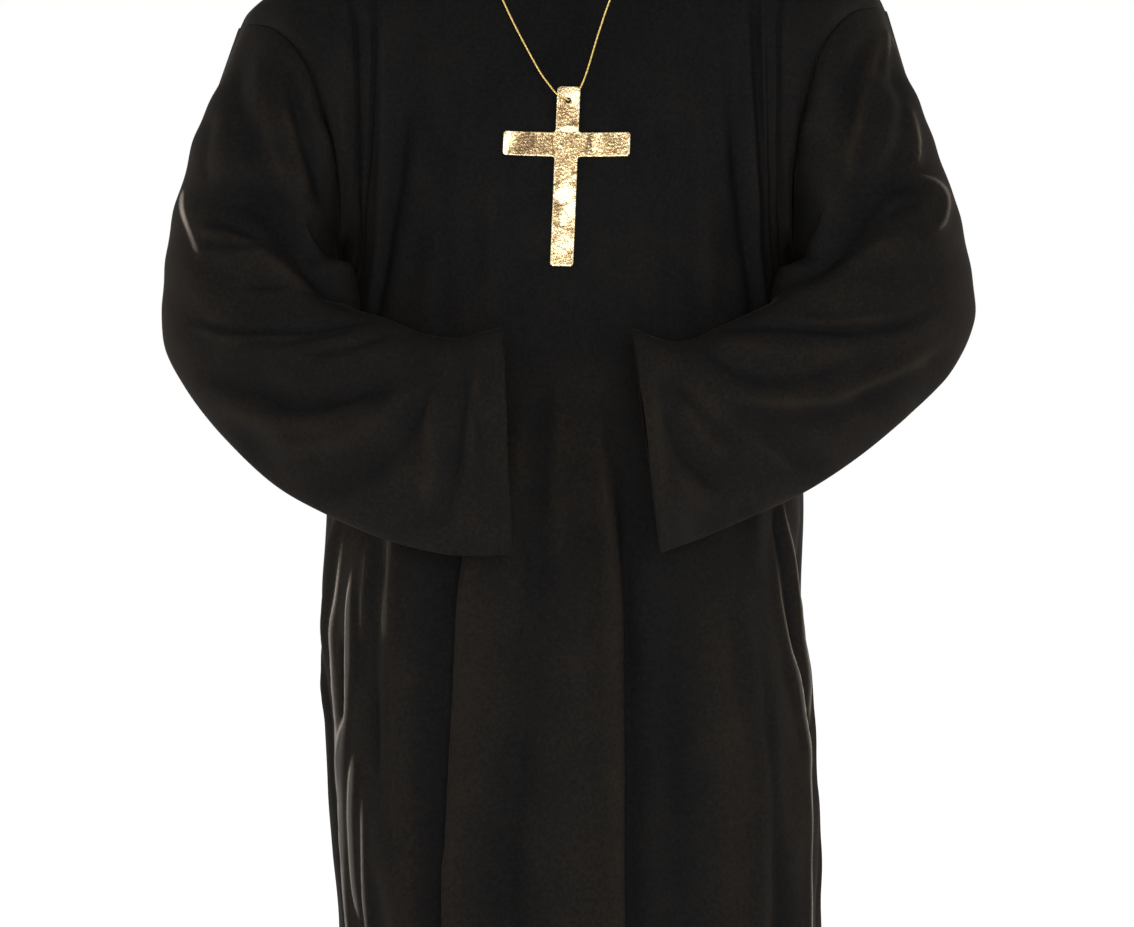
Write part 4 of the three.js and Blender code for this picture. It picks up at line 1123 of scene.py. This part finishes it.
def gold_cord_material():
    """Gold thread: twisted yarn with bright flecks."""
    material = bpy.data.materials.new("gold_thread")
    tree, shader = add_nodes(material)
    place = tree.nodes.new("ShaderNodeTexCoord").outputs["Object"]
    flecks = noise(tree, place, 900, 2)
    shade = ramp(tree, flecks, "Fac", [(0.35, (0.46, 0.29, 0.055)), (0.65, (0.85, 0.66, 0.25))])
    join(tree, shade, "Color", shader, "Base Color")
    shader.inputs["Metallic"].default_value = 0.5
    shader.inputs["Roughness"].default_value = 0.4
    add_bumps(tree, shader, [(flecks, 0.5, 0.0002)])
    return material


velour = velour_material()
gold_cloth = gold_cloth_material()
gold_thread = gold_cord_material()


# Neck cord: its middle line in metres, the same as the solid's
CORD_THICK = 0.0018
CORD_ROUTE = [
    (0.0013, -0.13295, -0.1966),
    (0.0004, -0.1354, -0.1961),
    (-0.0018, -0.1364, -0.1948),
    (-0.0091, -0.1353, -0.191),
    (-0.0165, -0.1295, -0.1815),
    (-0.0248, -0.122, -0.1693),
    (-0.0387, -0.1127, -0.1435),
    (-0.0508, -0.103, -0.119),
    (-0.0593, -0.0938, -0.1),
    (-0.0675, -0.084, -0.081),
    (-0.075, -0.0718, -0.0612),
    (-0.0815, -0.0585, -0.0448),
    (-0.0875, -0.0439, -0.03),
    (-0.0916, -0.0288, -0.018),
    (-0.0942, -0.0142, -0.0097),
    (-0.0944, 0, -0.0049),
    (-0.0924, 0.014, -0.0095),
    (-0.0858, 0.0263, -0.0166),
    (-0.073, 0.034, -0.022),
    (-0.057, 0.0375, -0.0244),
    (-0.038, 0.0393, -0.0254),
    (0, 0.0402, -0.0266),
    (0.042, 0.0386, -0.0248),
    (0.062, 0.0355, -0.0224),
    (0.078, 0.0285, -0.017),
    (0.089, 0.0165, -0.0094),
    (0.092, 0, -0.0032),
    (0.0918, -0.0144, -0.008),
    (0.0878, -0.0288, -0.0168),
    (0.082, -0.0444, -0.03),
    (0.0705, -0.0586, -0.0446),
    (0.059, -0.0718, -0.0622),
    (0.0485, -0.0838, -0.0818),
    (0.0398, -0.0936, -0.0998),
    (0.0286, -0.1083, -0.1339),
    (0.0173, -0.1226, -0.172),
    (0.0095, -0.1282, -0.1894),
    (0.0041, -0.1293, -0.1943),
    (0.0021, -0.1303, -0.1959),
    (0.0013, -0.13265, -0.1966),
]
TWIST_PITCH = 0.0036
RINGS_A_TURN = 10
STRAND_SIDES = 6
STRAND_RADIUS = CORD_THICK * 0.3
LENGTH_SAMPLES = 4001


def make_cord():
    """Two strands twisted round the route, each a tube closed at both ends."""
    fine = curve(CORD_ROUTE, np.linspace(0, 1, LENGTH_SAMPLES))
    walked = np.concatenate([[0], np.cumsum(np.linalg.norm(np.diff(fine, axis=0), axis=1))])
    length = walked[-1]
    count = int(length / TWIST_PITCH * RINGS_A_TURN)
    along = np.linspace(0, length, count + 1)
    line = np.stack([np.interp(along, walked, fine[:, k]) for k in range(3)], 1)
    ahead = unit(np.gradient(line, axis=0))
    side = np.empty_like(line)
    side[0] = unit(np.cross(ahead[0], [0, 0, 1.0]))
    for k in range(1, len(line)):
        side[k] = unit(side[k - 1] - ahead[k] * np.dot(side[k - 1], ahead[k]))
    other = np.cross(ahead, side)
    vertices, faces = [], []
    for start in (0, math.pi):
        turn = start + 2 * math.pi * along / TWIST_PITCH
        lean = np.cos(turn)[:, None] * side + np.sin(turn)[:, None] * other
        middle = line + lean * (CORD_THICK / 2 - STRAND_RADIUS)
        ahead_strand = unit(np.gradient(middle, axis=0))
        out = unit(lean - ahead_strand * np.sum(lean * ahead_strand, 1, keepdims=True))
        third = np.cross(ahead_strand, out)
        first = sum(len(v) for v in vertices)
        for k in range(STRAND_SIDES):
            angle = 2 * math.pi * k / STRAND_SIDES
            vertices.append(middle + STRAND_RADIUS * (math.cos(angle) * out + math.sin(angle) * third))
        rings = len(line)
        index = lambda r, k: first + (k % STRAND_SIDES) * rings + r
        r = np.arange(rings - 1)
        for k in range(STRAND_SIDES):
            corners = index(r, k), index(r, k + 1), index(r + 1, k + 1), index(r + 1, k)
            faces += np.stack(corners, 1).tolist()
        faces.append([index(0, k) for k in range(STRAND_SIDES)][::-1])
        faces.append([index(rings - 1, k) for k in range(STRAND_SIDES)])
    piece = new_object("twisted_cord", np.vstack(vertices), faces)
    piece.data.materials.append(gold_thread)
    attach(piece, "root")
    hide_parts("neck_cord")


make_cord()


def dress(node, piece):
    piece.data.materials.append(velour)
    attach(piece, "root")
    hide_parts(node)


for face in ("front", "back"):
    folded, normals, uv, painted_light_and_shade, flip = folded_panel(face)
    dress(f"robe_{face}", cloth(f"velour_{face}", folded, normals, uv, painted_light_and_shade, flip, False))
for side in ("left", "right"):
    folded, normals, uv, painted_light_and_shade, flip = folded_sleeve(side)
    dress(f"sleeve_{side}", cloth(f"velour_sleeve_{side}", folded, normals, uv, painted_light_and_shade, flip, True))


# Cross, in millimetres, flat and upright with its top edge at the origin before it is hung
CROSS_HEIGHT = 168
CROSS_SPAN = 116
CROSS_BAR = 22.5
CROSS_UPRIGHT = 21
BAR_BELOW_TOP = 54.5
CROSS_CORNER = 3
CROSS_PLATE = 1.8
HOLE_RADIUS = 2.6
HOLE_BELOW_TOP = 12.8
CROSS_TOP = (1.8, -129.8, -184)
CROSS_LEAN = 9.6  # degrees, with the foot forward of the top; the two slants are seen from the front
CROSS_SLANT = 2.3
BAR_SLANT = 0.6
BAR_BOW = 1.2
CORNER_STEPS = 4
HOLE_SIDES = 32
PUNCH_LENGTH = 0.01
FOIL_GRAIN = 0.00055
FACES_THIS_WAY = 0.9  # a face or edge belongs to a direction when this much of it points there


def deselect():
    if bpy.context.object and bpy.context.object.mode != "OBJECT":
        bpy.ops.object.mode_set(mode="OBJECT")
    bpy.ops.object.select_all(action="DESELECT")


def extrude_face(piece, axis, sign, reach):
    """Extrudes the face that lies furthest along an axis, straight along it."""
    bpy.ops.object.mode_set(mode="EDIT")
    bpy.ops.mesh.select_mode(type="FACE")
    mesh = bmesh.from_edit_mesh(piece.data)
    facing = [f for f in mesh.faces if f.normal[axis] * sign > FACES_THIS_WAY]
    furthest = max(facing, key=lambda f: f.calc_center_median()[axis] * sign)
    for f in mesh.faces:
        f.select_set(f is furthest)
    bmesh.update_edit_mesh(piece.data)
    move = [0, 0, 0]
    move[axis] = sign * reach
    bpy.ops.mesh.extrude_region_move(TRANSFORM_OT_translate={"value": move})
    bpy.ops.object.mode_set(mode="OBJECT")


def apply_modifiers(piece):
    bpy.context.view_layer.objects.active = piece
    for modifier in list(piece.modifiers):
        bpy.ops.object.modifier_apply(modifier=modifier.name)


def make_cross():
    deselect()
    bpy.ops.mesh.primitive_cube_add(size=1, location=(0, 0, -BAR_BELOW_TOP * MM))
    piece = bpy.context.object
    piece.name = piece.data.name = "gold_cross"
    piece.scale = (CROSS_UPRIGHT * MM, CROSS_PLATE * MM, CROSS_BAR * MM)
    bpy.ops.object.transform_apply(location=True, rotation=True, scale=True)
    arm = (CROSS_SPAN - CROSS_UPRIGHT) / 2 * MM
    extrude_face(piece, 0, 1, arm)
    extrude_face(piece, 0, -1, arm)
    above_bar = BAR_BELOW_TOP - CROSS_BAR / 2
    below_bar = CROSS_HEIGHT - BAR_BELOW_TOP - CROSS_BAR / 2
    for sign, reach in ((1, above_bar), (-1, below_bar)):
        bpy.ops.object.mode_set(mode="EDIT")
        mesh = bmesh.from_edit_mesh(piece.data)
        for f in mesh.faces:
            f.select_set(f.normal[2] * sign > FACES_THIS_WAY and abs(f.calc_center_median()[0]) < MM)
        bmesh.update_edit_mesh(piece.data)
        bpy.ops.mesh.extrude_region_move(TRANSFORM_OT_translate={"value": (0, 0, sign * reach * MM)})
        bpy.ops.object.mode_set(mode="OBJECT")
    bpy.ops.object.mode_set(mode="EDIT")
    bpy.ops.mesh.select_mode(type="EDGE")
    mesh = bmesh.from_edit_mesh(piece.data)
    for e in mesh.edges:
        run = e.verts[1].co - e.verts[0].co
        corner = len(e.link_faces) == 2 and e.calc_face_angle() > 1
        e.select_set(corner and abs(run.y) > FACES_THIS_WAY * run.length)
    bmesh.update_edit_mesh(piece.data)
    bpy.ops.mesh.bevel(offset=CROSS_CORNER * MM, segments=CORNER_STEPS, affect="EDGES")
    bpy.ops.object.mode_set(mode="OBJECT")

    deselect()
    bpy.ops.mesh.primitive_cylinder_add(
        vertices=HOLE_SIDES,
        radius=HOLE_RADIUS * MM,
        depth=PUNCH_LENGTH,
        location=(0, 0, -HOLE_BELOW_TOP * MM),
        rotation=(math.radians(90), 0, 0),
    )
    punch = bpy.context.object
    hole = piece.modifiers.new("hole", "BOOLEAN")
    hole.operation = "DIFFERENCE"
    hole.solver = "EXACT"
    hole.object = punch
    grain = piece.modifiers.new("even_faces", "REMESH")
    grain.mode = "VOXEL"
    grain.voxel_size = FOIL_GRAIN
    deselect()
    piece.select_set(True)
    apply_modifiers(piece)
    bpy.data.objects.remove(punch)
    hang_cross(piece)
    piece.data.materials.append(gold_cloth)
    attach(piece, "root")
    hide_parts("cross")


# Painted reflections on the foil, paler where it catches the light (above 0), darker and duller
# where it reflects the dark (below 0): middle across and up, half width, half height, slant, how much.
# The origin is the middle of the top edge.
FOIL_PAINTED_REFLECTIONS = [
    (-54, -54, 5, 16, 0.3, 1.3),
    (-38, -55, 9, 12, 0.3, -0.75),
    (-22, -58, 6, 12, 0.5, -0.25),
    (2, -7, 11, 5, 0, 0.55),
    (6, -12, 4, 8, 0, 0.7),
    (-5, -24, 5, 8, 0, -0.35),
    (2, -40, 9, 3.2, 0.1, 1.3),
    (20, -54, 2.2, 12, 0.2, -0.6),
    (28, -52, 3.5, 12, 0.3, 0.5),
    (44, -56, 9, 9, 0, -0.15),
    (3, -86, 9, 4, 0.5, 0.8),
    (0, -101, 9, 9, 0.2, 1.3),
    (4, -118, 6, 12, 0.3, 1.2),
    (-7, -116, 3, 8, 0, -0.5),
    (-3, -131, 8, 5, 0.3, 0.1),
    (0, -148, 9, 10, 0.2, 0.9),
]
# Creases in the foil: from, to, depth and half width.
FOIL_CREASES = [
    ((-50, -44), (-53, -66), 0.22, 1.0),
    ((-30, -45), (-34, -65), 0.12, 0.8),
    ((-14, -45), (-11, -66), 0.14, 0.8),
    ((20, -44), (24, -65), 0.16, 0.8),
    ((31, -45), (27, -63), 0.12, 0.8),
    ((-9, -36), (10, -34), 0.16, 0.9),
    ((-10, -92), (10, -80), 0.22, 0.9),
    ((-8, -96), (9, -90), 0.14, 0.8),
    ((-7, -106), (5, -122), 0.2, 0.9),
    ((-9, -128), (9, -134), 0.16, 0.8),
    ((-9, -146), (8, -156), 0.16, 0.9),
]
STITCH_SPACING = 2.4
STITCHED_EDGE = 1.3  # width of the stitching along the cross's edge
STITCH_PALENESS = 1.1
STITCH_RISE = 0.12
FOIL_PEBBLES = [(3.4, 0.06, 21), (2.0, 0.045, 22)]  # size, height and seed
FOIL_CRACKS = (16, 22, 23)  # spacing across and down, and seed
CRACK_DEPTH = 0.10
CRACK_WIDTH = 0.12
CREASE_PAINTED_SHADE = 5  # how much darker the foil is painted, as shade, in a crease for each millimetre of its depth
FOIL_BENDS = (40, 44, 24)
BEND_HEIGHT = 0.14
ROUND_HOLE = (3, 5)  # the foil lies flat within the first of these distances from the hole's middle


def inside_outline(u, v):
    """Distance in from the outline of the flat cross."""
    upright = np.minimum(CROSS_UPRIGHT / 2 - np.abs(u), np.minimum(-v, v + CROSS_HEIGHT))
    bar = np.minimum(CROSS_SPAN / 2 - np.abs(u), CROSS_BAR / 2 - np.abs(v + BAR_BELOW_TOP))
    return np.maximum(upright, bar)


def hang_cross(piece):
    """Crinkles the foil, and moves the flat cross to its place on the chest."""
    mesh = piece.data
    count = len(mesh.vertices)
    flat = np.empty(count * 3)
    mesh.vertices.foreach_get("co", flat)
    flat = flat.reshape(-1, 3) / MM
    facing = np.empty(count * 3)
    mesh.vertex_normals.foreach_get("vector", facing)
    facing = facing.reshape(-1, 3)
    u, v = flat[:, 0], flat[:, 2]

    # Painted reflections on the foil, and paler stitching along its edge
    painted_glare_and_stitches = 0 * u
    for middle_u, middle_v, half_u, half_v, slant, amount in FOIL_PAINTED_REFLECTIONS:
        along = v - middle_v
        across = u - middle_u - slant * along
        painted_glare_and_stitches += amount * np.exp(-((np.hypot(across / half_u, along / half_v)) ** 8))
    edge = np.exp(-((inside_outline(u, v) / STITCHED_EDGE) ** 2))
    stitches = 0.6 + 0.4 * np.cos(2 * math.pi * (u + v) / STITCH_SPACING)
    painted_glare_and_stitches += STITCH_PALENESS * edge * stitches

    crinkled = np.clip(1 - painted_glare_and_stitches, 0.15, 1.4)
    pebbles = sum(undulation(u, v, size, size, seed) * rise for size, rise, seed in FOIL_PEBBLES)
    cracks = np.exp(-np.abs(undulation(u, v, *FOIL_CRACKS)) / CRACK_WIDTH)
    height = pebbles * crinkled - CRACK_DEPTH * cracks
    for (au, av), (bu, bv), depth, width in FOIL_CREASES:
        run_u, run_v = bu - au, bv - av
        t = np.clip(((u - au) * run_u + (v - av) * run_v) / (run_u**2 + run_v**2), 0, 1)
        away = np.hypot(u - au - t * run_u, v - av - t * run_v)
        crease = np.exp(-((away / width) ** 1.5))
        height -= depth * crease
        # Painted shade in the crease
        painted_glare_and_stitches -= CREASE_PAINTED_SHADE * depth * crease
    height += STITCH_RISE * edge * stitches
    bends = BEND_HEIGHT * undulation(u, v, *FOIL_BENDS)
    off_hole = smoothstep(np.hypot(u, v + HOLE_BELOW_TOP), *ROUND_HOLE)
    shaped = flat + facing * (height * off_hole)[:, None]
    shaped[:, 1] += bends * off_hole

    lean = math.radians(CROSS_LEAN)
    x = shaped[:, 0] + shaped[:, 2] * math.sin(math.radians(CROSS_SLANT))
    z = shaped[:, 2] - shaped[:, 0] * math.sin(math.radians(BAR_SLANT))
    z += BAR_BOW * (u / (CROSS_SPAN / 2)) ** 2
    y = shaped[:, 1] - CROSS_PLATE / 2
    placed = np.stack([
        x + CROSS_TOP[0],
        y * math.cos(lean) + z * math.sin(lean) + CROSS_TOP[1],
        -y * math.sin(lean) + z * math.cos(lean) + CROSS_TOP[2],
    ], 1)
    mesh.vertices.foreach_set("co", (placed * MM).ravel())
    mesh.update()
    for polygon in mesh.polygons:
        polygon.use_smooth = True
    # Painted reflections and crease shade, and the stitching, for the foil's colour
    tone = mesh.attributes.new("painted_glare_and_stitches", "FLOAT", "POINT")
    tone.data.foreach_set("value", painted_glare_and_stitches)


make_cross()


# Stage and light
FLOOR_HEIGHT = -1.43
FLOOR_RADIUS = 14
# Brightness of the surroundings, from straight below (0) to straight above (1)
SURROUNDINGS = [
    (0.0, (1, 1, 1)),
    (0.58, (1, 1, 1)),
    (0.7, (0.5, 0.5, 0.5)),
    (0.85, (0.55, 0.55, 0.55)),
    (1.0, (0.9, 0.9, 0.9)),
]
CHEST = (0, -0.1, -0.6)
RIM_SIZE = (0.8, 2.0)
RIM_POWER = 25
WARM_LIGHT = (1, 0.8, 0.6)


def add_floor():
    deselect()
    bpy.ops.mesh.primitive_circle_add(
        vertices=96,
        radius=FLOOR_RADIUS,
        fill_type="NGON",
        location=(0, 0, FLOOR_HEIGHT),
    )
    floor = bpy.context.object
    floor.name = "floor"
    paint = bpy.data.materials.new("pale_floor")
    shader = add_nodes(paint)[1]
    shader.inputs["Base Color"].default_value = (0.82, 0.82, 0.82, 1)
    shader.inputs["Roughness"].default_value = 0.9
    shader.inputs["Emission Color"].default_value = (1, 1, 1, 1)
    shader.inputs["Emission Strength"].default_value = 0.5
    floor.data.materials.append(paint)


def add_world():
    world = bpy.data.worlds.new("studio")
    bpy.context.scene.world = world
    world.use_nodes = True
    tree = world.node_tree
    back = tree.nodes["Background"]
    direction = tree.nodes.new("ShaderNodeTexCoord").outputs["Generated"]
    split = tree.nodes.new("ShaderNodeSeparateXYZ")
    tree.links.new(direction, split.inputs[0])
    height = tree.nodes.new("ShaderNodeMapRange")
    height.inputs["From Min"].default_value = -1
    height.inputs["From Max"].default_value = 1
    join(tree, split, "Z", height, "Value")
    shade = ramp(tree, height, "Result", SURROUNDINGS)
    join(tree, shade, "Color", back, "Color")
    back.inputs["Strength"].default_value = 1.0


def add_light(name, place, aim, size, power, colour=(1, 1, 1)):
    data = bpy.data.lights.new(name, "AREA")
    data.shape = "RECTANGLE"
    data.size, data.size_y = size
    data.energy = power
    data.color = colour
    lamp = bpy.data.objects.new(name, data)
    lamp.location = place
    lamp.visible_camera = False
    away = np.array(place) - np.array(aim)
    lamp.rotation_euler = (
        math.atan2(math.hypot(away[0], away[1]), away[2]),
        0,
        math.atan2(away[0], -away[1]),
    )
    bpy.context.scene.collection.objects.link(lamp)


add_floor()
add_world()
add_light("key", (-1.6, -2.6, 0.9), CHEST, (1.2, 1.2), 9)
add_light("fill", (2.2, -2.2, 0.1), CHEST, (1.4, 1.6), 6)
add_light("front", (0.15, -3.9, -0.35), CHEST, (1.2, 1.2), 115)
add_light("rim_left", (-2.2, 0.9, -0.3), CHEST, RIM_SIZE, RIM_POWER, WARM_LIGHT)
add_light("rim_right", (2.2, 0.9, -0.3), CHEST, RIM_SIZE, RIM_POWER, WARM_LIGHT)
bpy.context.scene.view_settings.view_transform = "Standard"
